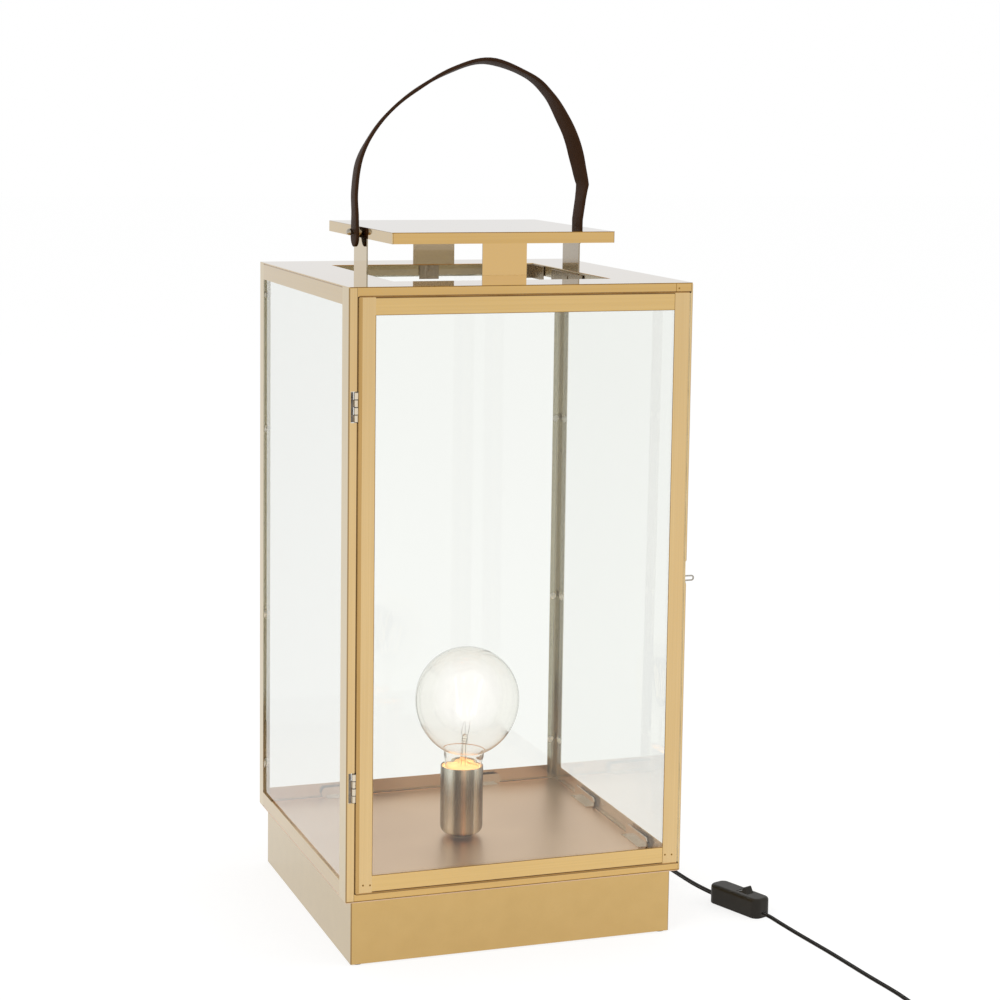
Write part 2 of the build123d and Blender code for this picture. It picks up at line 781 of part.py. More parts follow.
with BuildPart() as screws:
    for (x, y), inward, along in clip_walls:
        for shift in (0, top_clip_spacing):
            for place in (-clip_screw_spacing, clip_screw_spacing):
                level = plate_underside - clip_sheet
                middle = Vector(x, y, level) + Vector(*along) * (shift + place)
                middle = middle + Vector(*inward) * (top_clip_foot * 0.6)
                with BuildSketch(Plane(origin=middle, x_dir=along, z_dir=(0, 0, -1))):
                    Circle(clip_screw_diameter / 2)
                extrude(amount=clip_screw_head, taper=25)
    for middle in hinge_heights:
        with BuildSketch(Plane.XZ.offset(-(frame_leaf_back - hinge_leaf))):
            with Locations((frame_leaf_right - hinge_screw_diameter * 0.6, middle)):
                with GridLocations(0, hinge_screw_spacing, 1, 2):
                    Circle(hinge_screw_diameter / 2)
        extrude(amount=hinge_screw_head)
save(screws.part, "screws")

# ---- Catch spring and pull loop ------------------------------------------------------------

catch_middle = cabinet_base + catch_height
catch_x = half_width + catch_sheet / 2
catch_bump = door_right + catch_bearing_gap + catch_sheet / 2
catch_front = front + slot_depth - catch_width - 0.2
catch_run = catch_length / 2 - catch_end
with BuildPart() as catch_spring:
    with BuildSketch(Plane.XZ.offset(-catch_front)):
        with BuildLine():
            FilletPolyline(
                (catch_x, catch_middle - catch_length / 2),
                (catch_x, catch_middle - catch_run),
                (catch_bump, catch_middle - catch_run / 3),
                (catch_bump, catch_middle + catch_run / 3),
                (catch_x, catch_middle + catch_run),
                (catch_x, catch_middle + catch_length / 2),
                radius=catch_fold,
            )
        trace(line_width=catch_sheet)
    extrude(amount=-catch_width)
    rivet_plane = Plane.YZ.offset(half_width + catch_sheet)
    for toward in (-1, 1):
        rivet_level = catch_middle + toward * (catch_length - catch_end) / 2
        with BuildSketch(rivet_plane):
            with Locations((catch_front + catch_width / 2, rivet_level)):
                Circle(catch_rivet_diameter / 2)
        extrude(amount=catch_rivet_head, taper=30)
save(catch_spring.part, "catch_spring")

pull_end = half_width + pull_reach - pull_wire / 2
pull_start = door_right - frame_sheet - 0.6
with BuildPart() as pull_loop:
    with BuildLine() as pull_path:
        FilletPolyline(
            (pull_start, pull_y, pull_level + pull_leg_spacing / 2),
            (pull_end, pull_y, pull_level + pull_leg_spacing / 2),
            (pull_end, pull_y, pull_level - pull_leg_spacing / 2),
            (pull_start, pull_y, pull_level - pull_leg_spacing / 2),
            radius=pull_leg_spacing / 2 - 0.05,
        )
    with BuildSketch(Plane(origin=pull_path.wires()[0] @ 0, z_dir=pull_path.wires()[0] % 0)):
        Circle(pull_wire / 2)
    sweep()
save(pull_loop.part, "pull_loop")

# ---- Lampholder and bulb -------------------------------------------------------------------

holder_base = plinth_height + holder_nut_height
holder_top = holder_base + holder_height
nipple_base = plinth_height - plate_sheet - locknut_height - 3.0
core_base = holder_base + holder_sheet
nipple_radius = nipple_diameter / 2
nipple_hole = nipple_radius + hole_clearance

with BuildPart() as nipple:
    with BuildSketch(Plane.XY.offset(nipple_base)):
        Circle(nipple_radius)
        Circle(nipple_bore / 2, mode=Mode.SUBTRACT)
    extrude(amount=nipple_length)
save(nipple.part, "nipple")

with BuildPart() as holder_nuts:
    with BuildSketch(Plane.XY.offset(plinth_height)):
        Circle(holder_nut_diameter / 2)
        Circle(nipple_hole, mode=Mode.SUBTRACT)
    extrude(amount=holder_nut_height)
    with BuildSketch(Plane.XY.offset(plinth_height - plate_sheet - locknut_height)):
        RegularPolygon(locknut_flats / 2, 6, major_radius=False)
        Circle(nipple_hole, mode=Mode.SUBTRACT)
    extrude(amount=locknut_height)
save(holder_nuts.part, "holder_nuts")

with BuildPart() as lampholder_cup:
    with BuildSketch(Plane.XZ):
        with BuildLine():
            FilletPolyline(
                (nipple_hole, holder_base + holder_sheet / 2),
                (holder_diameter / 2 - holder_sheet / 2, holder_base + holder_sheet / 2),
                (holder_diameter / 2 - holder_sheet / 2, holder_top),
                radius=holder_corner - holder_sheet / 2,
            )
        trace(line_width=holder_sheet)
    revolve(axis=Axis.Z)
save(lampholder_cup.part, "lampholder_cup")

core_radius = holder_diameter / 2 - core_gap
core_top = core_base + core_height
socket_floor = core_top - socket_depth
with BuildPart() as lampholder_core:
    with BuildSketch(Plane.XY.offset(core_base)):
        Circle(core_radius)
    extrude(amount=core_height)
    chamfer(lampholder_core.edges().group_by(Axis.Z)[0], length=holder_corner * 0.8)
    with BuildSketch(Plane.XY.offset(socket_floor)):
        Circle(socket_diameter / 2)
    extrude(amount=socket_depth, mode=Mode.SUBTRACT)
    with BuildSketch(Plane.XY.offset(core_base)):
        Circle(nipple_hole)
    extrude(amount=nipple_length / 2, mode=Mode.SUBTRACT)
save(lampholder_core.part, "lampholder_core")

cap_base = socket_floor + 4.0
cap_bulb_top = cap_base + bulb_cap_height
bulb_centre = plinth_height + bulb_centre_height
neck_radius = bulb_neck_diameter / 2


def bulb_profile(inset):
    """Half of the globe's outline, a wall's inset from its outer skin, down to the cap."""
    radius = bulb_diameter / 2 - inset
    reach = bulb_lower_reach - inset
    lower = []
    for share in (0.35, 0.7, 1.0):
        angle = radians(bulb_shoulder_angle * share)
        lower.append((radius * cos(angle), bulb_centre - reach * sin(angle)))
    globe = CenterArc((0, bulb_centre), radius, 0, 90)
    neck = Spline(
        globe @ 0,
        *lower,
        (neck_radius - inset, bulb_centre - reach - 1.0),
        (bulb_mouth_diameter / 2 - inset, holder_top),
        (bulb_cap_diameter / 2 - inset, cap_bulb_top),
        tangents=[(0, -1), (-0.1, -1)],
    )
    base = Line(neck @ 1, (0, cap_bulb_top))
    Line(base @ 1, (0, bulb_centre + radius))


def leaning(part):
    """The bulb sits slightly askew in its socket, turned about the middle of its cap."""
    pivot = Axis((0, 0, cap_base + bulb_cap_height / 2), (0, 1, 0))
    return part.rotate(pivot, bulb_lean)


with BuildPart() as bulb_glass:
    with BuildSketch(Plane.XZ):
        with BuildLine():
            bulb_profile(0)
        make_face()
    revolve(axis=Axis.Z)
    with BuildSketch(Plane.XZ):
        with BuildLine():
            bulb_profile(bulb_wall)
        make_face()
    revolve(axis=Axis.Z, mode=Mode.SUBTRACT)
save(leaning(bulb_glass.part), "bulb_glass")

contact_radius = bulb_contact_diameter / 2
contact_level = socket_floor + bulb_contact_gap
with BuildPart() as bulb_cap:
    with BuildSketch(Plane.XZ):
        with BuildLine():
            Polyline(
                (0, contact_level),
                (contact_radius, contact_level),
                (contact_radius + 1.0, contact_level + 1.5),
                (bulb_cap_diameter / 2 - 2.0, cap_base),
                (bulb_cap_diameter / 2, cap_base + 2.0),
                (bulb_cap_diameter / 2, cap_bulb_top),
                (0, cap_bulb_top),
                close=True,
            )
        make_face()
    revolve(axis=Axis.Z)
save(leaning(bulb_cap.part), "bulb_cap")

stem_top = cap_bulb_top + stem_height
stem_foot = 3.5 * stem_radius
stem_waist = cap_bulb_top + stem_height / 3
with BuildPart() as bulb_stem:
    with BuildSketch(Plane.XZ):
        with BuildLine():
            Polyline(
                (0, cap_bulb_top),
                (stem_foot, cap_bulb_top),
                (1.5 * stem_radius, stem_waist),
                (stem_radius, stem_top - stem_height / 5),
                (stem_radius, stem_top),
                (0, stem_top),
                close=True,
            )
        make_face()
    revolve(axis=Axis.Z)
save(leaning(bulb_stem.part), "bulb_stem")

# one wire runs up a lead, zigzags round the cage and comes down the other lead
filament_points = [(-stem_radius - filament_wire / 2, 0, stem_top - stem_height / 5)]
for turn in range(2 * filament_strands - 1):
    angle = -pi / 2 - 2 * pi * (turn + 0.5) / (2 * filament_strands - 1)
    at_top = turn % 2 == 1
    ring = filament_high_radius if at_top else filament_low_radius
    level = bulb_centre + (filament_high_rise if at_top else -filament_low_drop)
    filament_points.append((ring * cos(angle), ring * sin(angle), level))
filament_points.append((stem_radius + filament_wire / 2, 0, stem_top - stem_height / 5))
with BuildPart() as filament:
    with BuildLine() as filament_path:
        FilletPolyline(*filament_points, radius=filament_wire)
    filament_start = Plane(
        origin=filament_path.wires()[0] @ 0, z_dir=filament_path.wires()[0] % 0
    )
    with BuildSketch(filament_start):
        Circle(filament_wire / 2)
    sweep()
save(leaning(filament.part), "filament")

# ---- Strain relief and cord ----------------------------------------------------------------

gland_tip = plinth_back + gland_length
gland_plane = Plane(origin=(gland_x, plinth_back, gland_height), x_dir=(1, 0, 0), z_dir=(0, 1, 0))
with BuildPart() as strain_relief:
    with BuildSketch(gland_plane.offset(-2 * plate_sheet - 1.0)):
        Circle(gland_flange / 2)
    extrude(amount=plate_sheet + 1.0)
    with BuildSketch(gland_plane.offset(-plate_sheet)):
        Circle(gland_neck / 2)
    extrude(amount=plate_sheet)
    with BuildSketch(gland_plane):
        Circle(gland_flange / 2)
    extrude(amount=plate_sheet + 1.0)
    with BuildSketch(gland_plane.offset(plate_sheet)):
        Circle(gland_neck / 2)
    with BuildSketch(gland_plane.offset(gland_length)):
        Circle(cord_diameter / 2 + 0.5)
    loft()
save(strain_relief.part, "strain_relief")

cord_radius = cord_diameter / 2
inner_start = plinth_back - 2 * plate_sheet - 1.0
cord_inside_points = [
    (gland_x, inner_start - cord_seat_gap, gland_height),
    (gland_x - 2, inner_start - 34, gland_height + 1),
    (gland_x - 18, inner_start - 70, gland_height + 1.5),
    (gland_x - 42, inner_start - 103, gland_height + 3),
    (gland_x - 64, inner_start - 128, gland_height + 12),
    (0, 0, nipple_base - 12),
    (0, 0, nipple_base),
]
save(cord_tube(cord_inside_points), "cord_inside")

heading = radians(switch_heading)
along_switch = Vector(cos(heading), sin(heading), 0)
switch_middle = Vector(switch_centre[0], switch_centre[1], 0)
switch_reach = switch_length / 2 + cord_seat_gap
switch_entry = switch_middle - along_switch * switch_reach
switch_exit = switch_middle + along_switch * switch_reach

cord_to_switch_points = [
    (gland_x, gland_tip + cord_seat_gap, gland_height),
    (71.5, 204, 8.5),
    (82, 237, 3.4),
    (108, 263, 2.4),
    (146, 268, 2.4),
    (179, 248, 2.4),
    (196, 213, 2.4),
    (203, 173, 2.4),
    (205.5, 131, 2.4),
    (209.5, 90, 2.4),
    (210.5, 49, 2.4),
    (213.8, 8.6, 2.4),
    (216.4, -33.4, 2.5),
    (218.4, -58, 3.6),
    (switch_entry.X, switch_entry.Y, switch_cord_height),
]
save(cord_tube(cord_to_switch_points), "cord_to_switch")

coil_width = coil_turns_across * coil_pitch
coil_outer = coil_mid_diameter / 2 + coil_width / 2
coil_inner = coil_mid_diameter / 2 - coil_width / 2
coil_height = coil_layers * coil_pitch
coil_middle = Vector(coil_centre[0], coil_centre[1], 0)
# the cord comes alongside the coil's outer turn and leaves alongside it too
beside_coil = coil_outer + cord_radius + cord_seat_gap
coil_entry = coil_middle + Vector(1, 0, 0) * beside_coil
cord_from_switch_points = [
    (switch_exit.X, switch_exit.Y, switch_cord_height),
    (246.8, -166, 3.2),
    (251.5, -196, 2.4),
    (257.3, -245.5, 2.4),
    (261.6, -301, 2.4),
    (coil_entry.X - 0.4, coil_entry.Y + 66, 2.4),
    (coil_entry.X, coil_entry.Y + 44, 2.8),
    (coil_entry.X, coil_entry.Y + 18, coil_height / 2),
    (coil_entry.X, coil_entry.Y, coil_height / 2),
]
save(cord_tube(cord_from_switch_points), "cord_from_switch")

with BuildPart() as cord_coil:
    with BuildSketch(Plane.XY):
        with Locations(coil_centre):
            Circle(coil_outer)
            Circle(coil_inner, mode=Mode.SUBTRACT)
    extrude(amount=coil_height)
    fillet(cord_coil.edges().filter_by(GeomType.CIRCLE), radius=cord_radius * 0.8)
save(cord_coil.part, "cord_coil")

plug_angle = radians(plug_heading)
plug_forward = Vector(cos(plug_angle), sin(plug_angle), 0)
plug_level = Vector(0, 0, plug_thickness / 2)
plug_side = Vector(0, 0, 1).cross(plug_forward)
coil_exit = coil_middle + plug_side * beside_coil
plug_back = coil_exit + plug_forward * tail_length
tail_start = coil_exit + Vector(0, 0, coil_height / 2)
tail_end = plug_back + plug_level
with BuildPart() as cord_tail:
    with BuildSketch(Plane(origin=tail_start, z_dir=tail_end - tail_start)):
        Circle(cord_radius)
    extrude(amount=(tail_end - tail_start).length)
save(cord_tail.part, "cord_tail")

plug_plane = Plane(origin=plug_back + plug_level, x_dir=plug_forward, z_dir=(0, 0, 1))
with BuildPart() as plug_body:
    with BuildSketch(plug_plane.offset(-plug_thickness / 2)):
        with BuildLine():
            Polyline(
                (0.4, -plug_neck_width / 2),
                (plug_length * 0.35, -plug_neck_width / 2 - 1.0),
                (plug_length * 0.75, -plug_width / 2),
                (plug_length, -plug_width / 2),
                (plug_length, plug_width / 2),
                (plug_length * 0.75, plug_width / 2),
                (plug_length * 0.35, plug_neck_width / 2 + 1.0),
                (0.4, plug_neck_width / 2),
                close=True,
            )
        make_face()
    extrude(amount=plug_thickness)
    fillet(plug_body.edges().filter_by(Axis.Z), radius=2.0)
save(plug_body.part, "plug_body")

with BuildPart() as plug_pins:
    pin_plane = Plane(origin=plug_back + plug_level, x_dir=(0, 0, 1), z_dir=plug_forward)
    with BuildSketch(pin_plane.offset(plug_length)):
        with GridLocations(0, pin_spacing, 1, 2):
            Circle(pin_diameter / 2)
    extrude(amount=pin_length)
    fillet(plug_pins.faces().sort_by(Axis(plug_back, plug_forward))[-2:].edges(), radius=1.5)
save(plug_pins.part, "plug_pins")

# ---- In-line switch ------------------------------------------------------------------------

switch_plane = Plane(origin=switch_middle, x_dir=along_switch, z_dir=(0, 0, 1))
side_plane_switch = Plane(
    origin=switch_middle, x_dir=along_switch, z_dir=along_switch.cross(Vector(0, 0, 1))
)
pocket_length = rocker_length + 2 * rocker_gap
pocket_width = rocker_width + 2 * rocker_side_gap

with BuildPart() as switch_base:
    with BuildSketch(switch_plane):
        RectangleRounded(switch_length, switch_width, switch_end_radius)
    extrude(amount=switch_split)
    fillet(switch_base.faces().sort_by(Axis.Z)[0].edges(), radius=1.0)
save(switch_base.part, "switch_base")

with BuildPart() as switch_cover:
    with BuildSketch(switch_plane.offset(switch_split)):
        RectangleRounded(switch_length, switch_width, switch_end_radius)
    extrude(amount=switch_height - switch_split)
    fillet(switch_cover.faces().sort_by(Axis.Z)[-1].edges(), radius=3.0)
    with BuildSketch(switch_plane.offset(switch_split)):
        with Locations((rocker_offset, 0)):
            Rectangle(pocket_length, pocket_width)
    extrude(amount=switch_height - switch_split, mode=Mode.SUBTRACT)
    with BuildSketch(side_plane_switch):
        with Locations((rocker_offset, rocker_pivot_height)):
            Circle(rocker_pivot_diameter / 2 + 0.05)
    extrude(amount=pocket_width / 2 + 2.2, both=True, mode=Mode.SUBTRACT)
save(switch_cover.part, "switch_cover")

rocker_tilt = radians(rocker_travel / 2)
rocker_plane = Plane(
    origin=switch_plane.from_local_coords((rocker_offset, 0, rocker_pivot_height)),
    x_dir=along_switch * cos(rocker_tilt) + Vector(0, 0, sin(rocker_tilt)),
    z_dir=along_switch.cross(Vector(0, 0, 1)),
)
with BuildPart() as switch_rocker:
    with BuildSketch(rocker_plane):
        with BuildLine():
            Polyline(
                (-rocker_length / 2, 4.2),
                (0.5, 5.6),
                (3.4, 9.2),
                (4.4, 9.2),
                (rocker_length / 2, 4.2),
                (rocker_length / 2 - 0.6, -1.0),
                (3.0, -4.0),
                (-3.0, -4.0),
                (-rocker_length / 2 + 0.6, -1.0),
                close=True,
            )
        make_face()
    extrude(amount=rocker_width / 2, both=True)
    with BuildSketch(rocker_plane):
        Circle(rocker_pivot_diameter / 2)
    extrude(amount=pocket_width / 2 + 2.0, both=True)
save(switch_rocker.part, "switch_rocker")
print("rocker axis", rocker_plane.origin, rocker_plane.z_dir)
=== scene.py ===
"""The looks of a glazed lantern table lamp: folded brass sheet, clear panes, a lit globe bulb, a strap.

Each section dresses one group of pieces, in the order in which the real lamp is put together.
Lengths are in metres unless a name says otherwise.
"""
from math import cos, pi, radians, sin, sqrt, tau

import bmesh
import bpy
from mathutils import Matrix, Vector


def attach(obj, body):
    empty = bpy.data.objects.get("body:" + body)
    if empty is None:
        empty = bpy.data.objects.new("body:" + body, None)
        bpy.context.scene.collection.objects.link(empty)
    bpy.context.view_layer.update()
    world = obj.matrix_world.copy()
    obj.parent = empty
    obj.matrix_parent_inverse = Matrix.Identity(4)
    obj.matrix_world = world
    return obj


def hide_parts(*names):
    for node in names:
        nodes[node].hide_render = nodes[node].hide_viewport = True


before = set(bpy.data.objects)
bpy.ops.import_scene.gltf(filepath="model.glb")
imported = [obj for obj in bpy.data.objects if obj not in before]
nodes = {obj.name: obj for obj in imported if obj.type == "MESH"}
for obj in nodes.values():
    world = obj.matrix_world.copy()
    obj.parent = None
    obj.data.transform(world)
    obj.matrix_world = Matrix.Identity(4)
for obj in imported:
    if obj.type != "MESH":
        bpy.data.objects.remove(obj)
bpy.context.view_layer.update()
mm = 0.001

# ---- The studio ------------------------------------------------------------------------------
# A white floor that runs out of sight, an even white sky, and two large soft lamps: one high on
# the left and one on the right. The camera stands a little left of the door, at the cap's height.


def srgb(red, green, blue):
    """A colour picked as 0-255 screen values, turned into the linear values that shaders use."""
    linear = []
    for value in (red, green, blue):
        share = value / 255
        linear.append(share / 12.92 if share <= 0.04045 else ((share + 0.055) / 1.055) ** 2.4)
    return (*linear, 1.0)


def new_material(name):
    """A node material, its node tree and its Principled shader."""
    material = bpy.data.materials.new(name)
    material.use_nodes = True
    tree = material.node_tree
    return material, tree, tree.nodes["Principled BSDF"]


def feed(tree, value, socket):
    """Links another node's socket to this one, or writes a plain number or colour into it."""
    if isinstance(value, bpy.types.NodeSocket):
        tree.links.new(value, socket)
    else:
        socket.default_value = value


def set_inputs(tree, node, values):
    """Links or writes several of a node's inputs, given by their names."""
    for label, value in values.items():
        feed(tree, value, node.inputs[label])


def new_object(name, data):
    """A new object in the scene, on a mesh, a lamp or a camera."""
    made = bpy.data.objects.new(name, data)
    bpy.context.collection.objects.link(made)
    return made


def math_node(tree, operation, *values):
    """The result of a math node whose inputs are sockets or plain numbers."""
    node = tree.nodes.new("ShaderNodeMath")
    node.operation = operation
    for value, socket in zip(values, node.inputs):
        feed(tree, value, socket)
    return node.outputs[0]


def ray_kinds(tree):
    """Masks of the kinds of ray, by their names."""
    return tree.nodes.new("ShaderNodeLightPath").outputs


def direct_rays(tree):
    """A mask of the rays that reach the camera straight or through glass."""
    rays = ray_kinds(tree)
    return math_node(tree, "MAXIMUM", rays["Is Camera Ray"], rays["Is Transmission Ray"])


def seen_as(tree, in_sight, in_mirrors):
    """A brightness in direct sight and one in mirrors, and a mask of the rays that see either."""
    straight = direct_rays(tree)
    level = math_node(tree, "MULTIPLY_ADD", straight, in_sight - in_mirrors, in_mirrors)
    return level, math_node(tree, "MAXIMUM", straight, ray_kinds(tree)["Is Glossy Ray"])


def mix_surface(tree, share, first, second, end="Material Output"):
    """Ends a tree in its first shader where the share is 0 and in its second where it is 1."""
    mix = tree.nodes.new("ShaderNodeMixShader")
    tree.links.new(share, mix.inputs["Fac"])
    tree.links.new(first.outputs[0], mix.inputs[1])
    tree.links.new(second.outputs[0], mix.inputs[2])
    tree.links.new(mix.outputs[0], tree.nodes[end].inputs["Surface"])


white = (1, 1, 1, 1)
half_floor = 15.0
floor_mesh = bpy.data.meshes.new("studio_floor")
floor_corners = [Vector(corner) * half_floor for corner in ((-1, -1, 0), (1, -1, 0), (1, 1, 0), (-1, 1, 0))]
floor_mesh.from_pydata(floor_corners, [], [(0, 1, 2, 3)])
studio_floor = new_object("studio_floor", floor_mesh)

floor_paper, tree, shader = new_material("floor_paper")
paper = {"Base Color": (0.72, 0.72, 0.72, 1), "Roughness": 0.9, "Specular IOR Level": 0.0}
set_inputs(tree, shader, paper)
shadow_keeper = tree.nodes.new("ShaderNodeBsdfDiffuse")
shadow_keeper.inputs["Color"].default_value = (0.30, 0.30, 0.30, 1)
paper_glow = tree.nodes.new("ShaderNodeEmission")
level, shown = seen_as(tree, in_sight=0.78, in_mirrors=0.60)
set_inputs(tree, paper_glow, {"Color": white, "Strength": level})
seen_paper = tree.nodes.new("ShaderNodeAddShader")
tree.links.new(shadow_keeper.outputs[0], seen_paper.inputs[0])
tree.links.new(paper_glow.outputs[0], seen_paper.inputs[1])
mix_surface(tree, shown, shader, seen_paper)
floor_mesh.materials.append(floor_paper)

sky = bpy.data.worlds.new("studio_sky")
bpy.context.scene.world = sky
sky.use_nodes = True
tree = sky.node_tree
sky_light = tree.nodes["Background"]
set_inputs(tree, sky_light, {"Color": white, "Strength": 0.72})
sky_seen = tree.nodes.new("ShaderNodeBackground")
level, shown = seen_as(tree, in_sight=1.0, in_mirrors=0.81)
set_inputs(tree, sky_seen, {"Color": white, "Strength": level})
mix_surface(tree, shown, sky_light, sky_seen, "World Output")

softboxes = (
    ("softbox_left", (-2.2, -1.6, 2.6), 1.8, 26.0),
    ("softbox_right", (2.6, -1.2, 1.9), 1.6, 12.0),
)
lit_middle = Vector((0, 0, 0.35))
for name, place, size, power in softboxes:
    lamp = bpy.data.lights.new(name, "AREA")
    lamp.size = size
    lamp.energy = power
    lamp.color = (1.0, 0.99, 0.97)
    box = new_object(name, lamp)
    box.location = place
    box.visible_glossy = False
    box.rotation_euler = (lit_middle - Vector(place)).to_track_quat("-Z", "Y").to_euler()

camera_place = Vector((-0.68263, -2.02901, 0.73053))
camera_yaw = radians(19.416)
camera_pitch = radians(7.179)
camera_roll = radians(0.786)
forward = Vector(
    (sin(camera_yaw) * cos(camera_pitch), cos(camera_yaw) * cos(camera_pitch), -sin(camera_pitch))
)
rightward = Vector((cos(camera_yaw), -sin(camera_yaw), 0))
upward = rightward.cross(forward)
camera_right = rightward * cos(camera_roll) + upward * sin(camera_roll)
camera_up = upward * cos(camera_roll) - rightward * sin(camera_roll)
lens = bpy.data.cameras.new("studio_camera")
lens.lens = 86.41
lens.sensor_width = 36.0
lens.shift_y = -0.1
lens.clip_start = 0.05
lens.clip_end = 60.0
studio_camera = new_object("studio_camera", lens)
turn = Matrix((camera_right, camera_up, -forward)).transposed().to_4x4()
studio_camera.matrix_world = Matrix.Translation(camera_place) @ turn
bpy.context.scene.camera = studio_camera
bpy.context.scene.view_settings.view_transform = "Standard"

# ---- Plinth, its pads and the floor plate ------------------------------------------------------
# A plinth folded from one sheet of polished, lacquered brass-coloured steel, open underneath, on
# four glued rubber pads. The floor plate is the same metal left satin, and carries the lampholder.


def node_group(name, inputs, outputs):
    """A shader node group with named sockets, and its two end nodes."""
    group = bpy.data.node_groups.new(name, "ShaderNodeTree")
    for label, kind, value in inputs:
        group.interface.new_socket(label, in_out="INPUT", socket_type=kind).default_value = value
    for label, kind in outputs:
        group.interface.new_socket(label, in_out="OUTPUT", socket_type=kind)
    return group, group.nodes.new("NodeGroupInput"), group.nodes.new("NodeGroupOutput")


def noise(tree, scale, detail=2.0, at=None):
    """The value of a noise texture, over the piece's own box unless a place is given."""
    texture = tree.nodes.new("ShaderNodeTexNoise")
    set_inputs(tree, texture, {"Scale": scale, "Detail": detail})
    if at is not None:
        tree.links.new(at, texture.inputs["Vector"])
    return texture.outputs["Fac"]


def between(tree, share, low, high, kind="RGBA", blend="MIX"):
    """What lies a share of the way from one colour or number to another."""
    mix = tree.nodes.new("ShaderNodeMix")
    mix.data_type = kind
    mix.blend_type = blend
    set_inputs(tree, mix, {"Factor": share, "A": low, "B": high})
    return mix.outputs["Result"]


def vector_node(tree, operation, first, second):
    """The outputs of a vector math node."""
    node = tree.nodes.new("ShaderNodeVectorMath")
    node.operation = operation
    feed(tree, first, node.inputs[0])
    feed(tree, second, node.inputs[1])
    return node.outputs


def split_xyz(tree, vector):
    """The three parts of a vector, by their letters."""
    node = tree.nodes.new("ShaderNodeSeparateXYZ")
    tree.links.new(vector, node.inputs[0])
    return node.outputs


def surface_place(tree):
    """Where a point of the surface is and which way it faces, in the lamp's own frame."""
    return tree.nodes.new("ShaderNodeTexCoord").outputs


# fine lines left by the polishing belt, the slow unevenness of thin sheet, painted brown shade on its
# folds, a painted cooler reflection on the side walls, and the inner side, which faces the lamp's middle,
# in a tone that is partly bare sheet and partly painted shade and reflection
sheet_finish, ends_in, ends_out = node_group(
    "sheet_finish",
    (
        ("Lines Per Metre", "NodeSocketVector", (900.0, 900.0, 12.0)),
        ("Light", "NodeSocketColor", (1, 1, 1, 1)),
        ("Dark", "NodeSocketColor", (0.8, 0.8, 0.8, 1)),
        ("Smooth", "NodeSocketFloat", 0.04),
        ("Dull", "NodeSocketFloat", 0.10),
        ("Bare", "NodeSocketColor", (0.4, 0.4, 0.35, 1)),
        ("Bare Roughness", "NodeSocketFloat", 0.22),
        ("Bare Share", "NodeSocketFloat", 1.0),
        ("Fold", "NodeSocketColor", (0.2, 0.12, 0.04, 1)),
        ("Fold Share", "NodeSocketFloat", 0.0),
    ),
    (
        ("Color", "NodeSocketColor"),
        ("Roughness", "NodeSocketFloat"),
        ("Height", "NodeSocketFloat"),
    ),
)
given = ends_in.outputs
tree = sheet_finish
place = surface_place(tree)
stretched = vector_node(tree, "MULTIPLY", place["Object"], given["Lines Per Metre"])
lines = noise(tree, 1.0, 3.0, stretched[0])
cloud = noise(tree, 9.0, 2.0, place["Object"])
both = math_node(tree, "MULTIPLY", lines, 0.6)
both = math_node(tree, "MULTIPLY_ADD", cloud, 0.4, both)
spread = tree.nodes.new("ShaderNodeMapRange")
set_inputs(tree, spread, {"Value": both, "From Min": 0.35, "From Max": 0.65})
tone = between(tree, spread.outputs[0], given["Dark"], given["Light"])
haze = between(tree, spread.outputs[0], given["Smooth"], given["Dull"], "FLOAT")

# painted reflection: walls that face along X are turned cooler and greyer than the fronts
painted_side_reflection = (0.84, 0.90, 0.87, 1)
nearly_flat = 0.985
level_place = vector_node(tree, "MULTIPLY", place["Object"], (1, 1, 0))
outwards = vector_node(tree, "DOT_PRODUCT", level_place[0], place["Normal"])
facing = split_xyz(tree, place["Normal"])
sideways = math_node(tree, "ABSOLUTE", facing["X"])
lengthways = math_node(tree, "ABSOLUTE", facing["Y"])
upwards = math_node(tree, "ABSOLUTE", facing["Z"])
standing = math_node(tree, "LESS_THAN", upwards, 0.5)
# the inner side's tone, partly bare sheet and partly painted shade and reflection
inside_bare_and_shade_mask = math_node(tree, "LESS_THAN", outwards["Value"], 0.03)
inside_bare_and_shade_mask = math_node(tree, "MULTIPLY", inside_bare_and_shade_mask, standing)
inside_bare_and_shade_mask = math_node(tree, "MULTIPLY", inside_bare_and_shade_mask, given["Bare Share"])
painted_side_mask = math_node(tree, "GREATER_THAN", sideways, 0.5)
painted_side_mask = math_node(tree, "MULTIPLY", painted_side_mask, given["Bare Share"])
# painted shade: rounded folds, whose normals lie between the main directions, are painted brown
flattest = math_node(tree, "MAXIMUM", sideways, lengthways)
flattest = math_node(tree, "MAXIMUM", flattest, upwards)
painted_fold_mask = math_node(tree, "LESS_THAN", flattest, nearly_flat)
painted_fold_mask = math_node(tree, "MULTIPLY", painted_fold_mask, given["Fold Share"])

tone = between(tree, painted_side_mask, tone, painted_side_reflection, blend="MULTIPLY")
tone = between(tree, painted_fold_mask, tone, given["Fold"])
tone = between(tree, inside_bare_and_shade_mask, tone, given["Bare"])
haze = between(tree, inside_bare_and_shade_mask, haze, given["Bare Roughness"], "FLOAT")
set_inputs(tree, ends_out, {"Color": tone, "Roughness": haze, "Height": both})


def add_relief(tree, shader, height, strength, depth):
    """Gives a surface its relief, from a height that changes over it."""
    bump = tree.nodes.new("ShaderNodeBump")
    set_inputs(tree, bump, {"Strength": strength, "Distance": depth, "Height": height})
    tree.links.new(bump.outputs["Normal"], shader.inputs["Normal"])


# the brown of the painted shade on folds
painted_fold_shade = srgb(150, 112, 52)


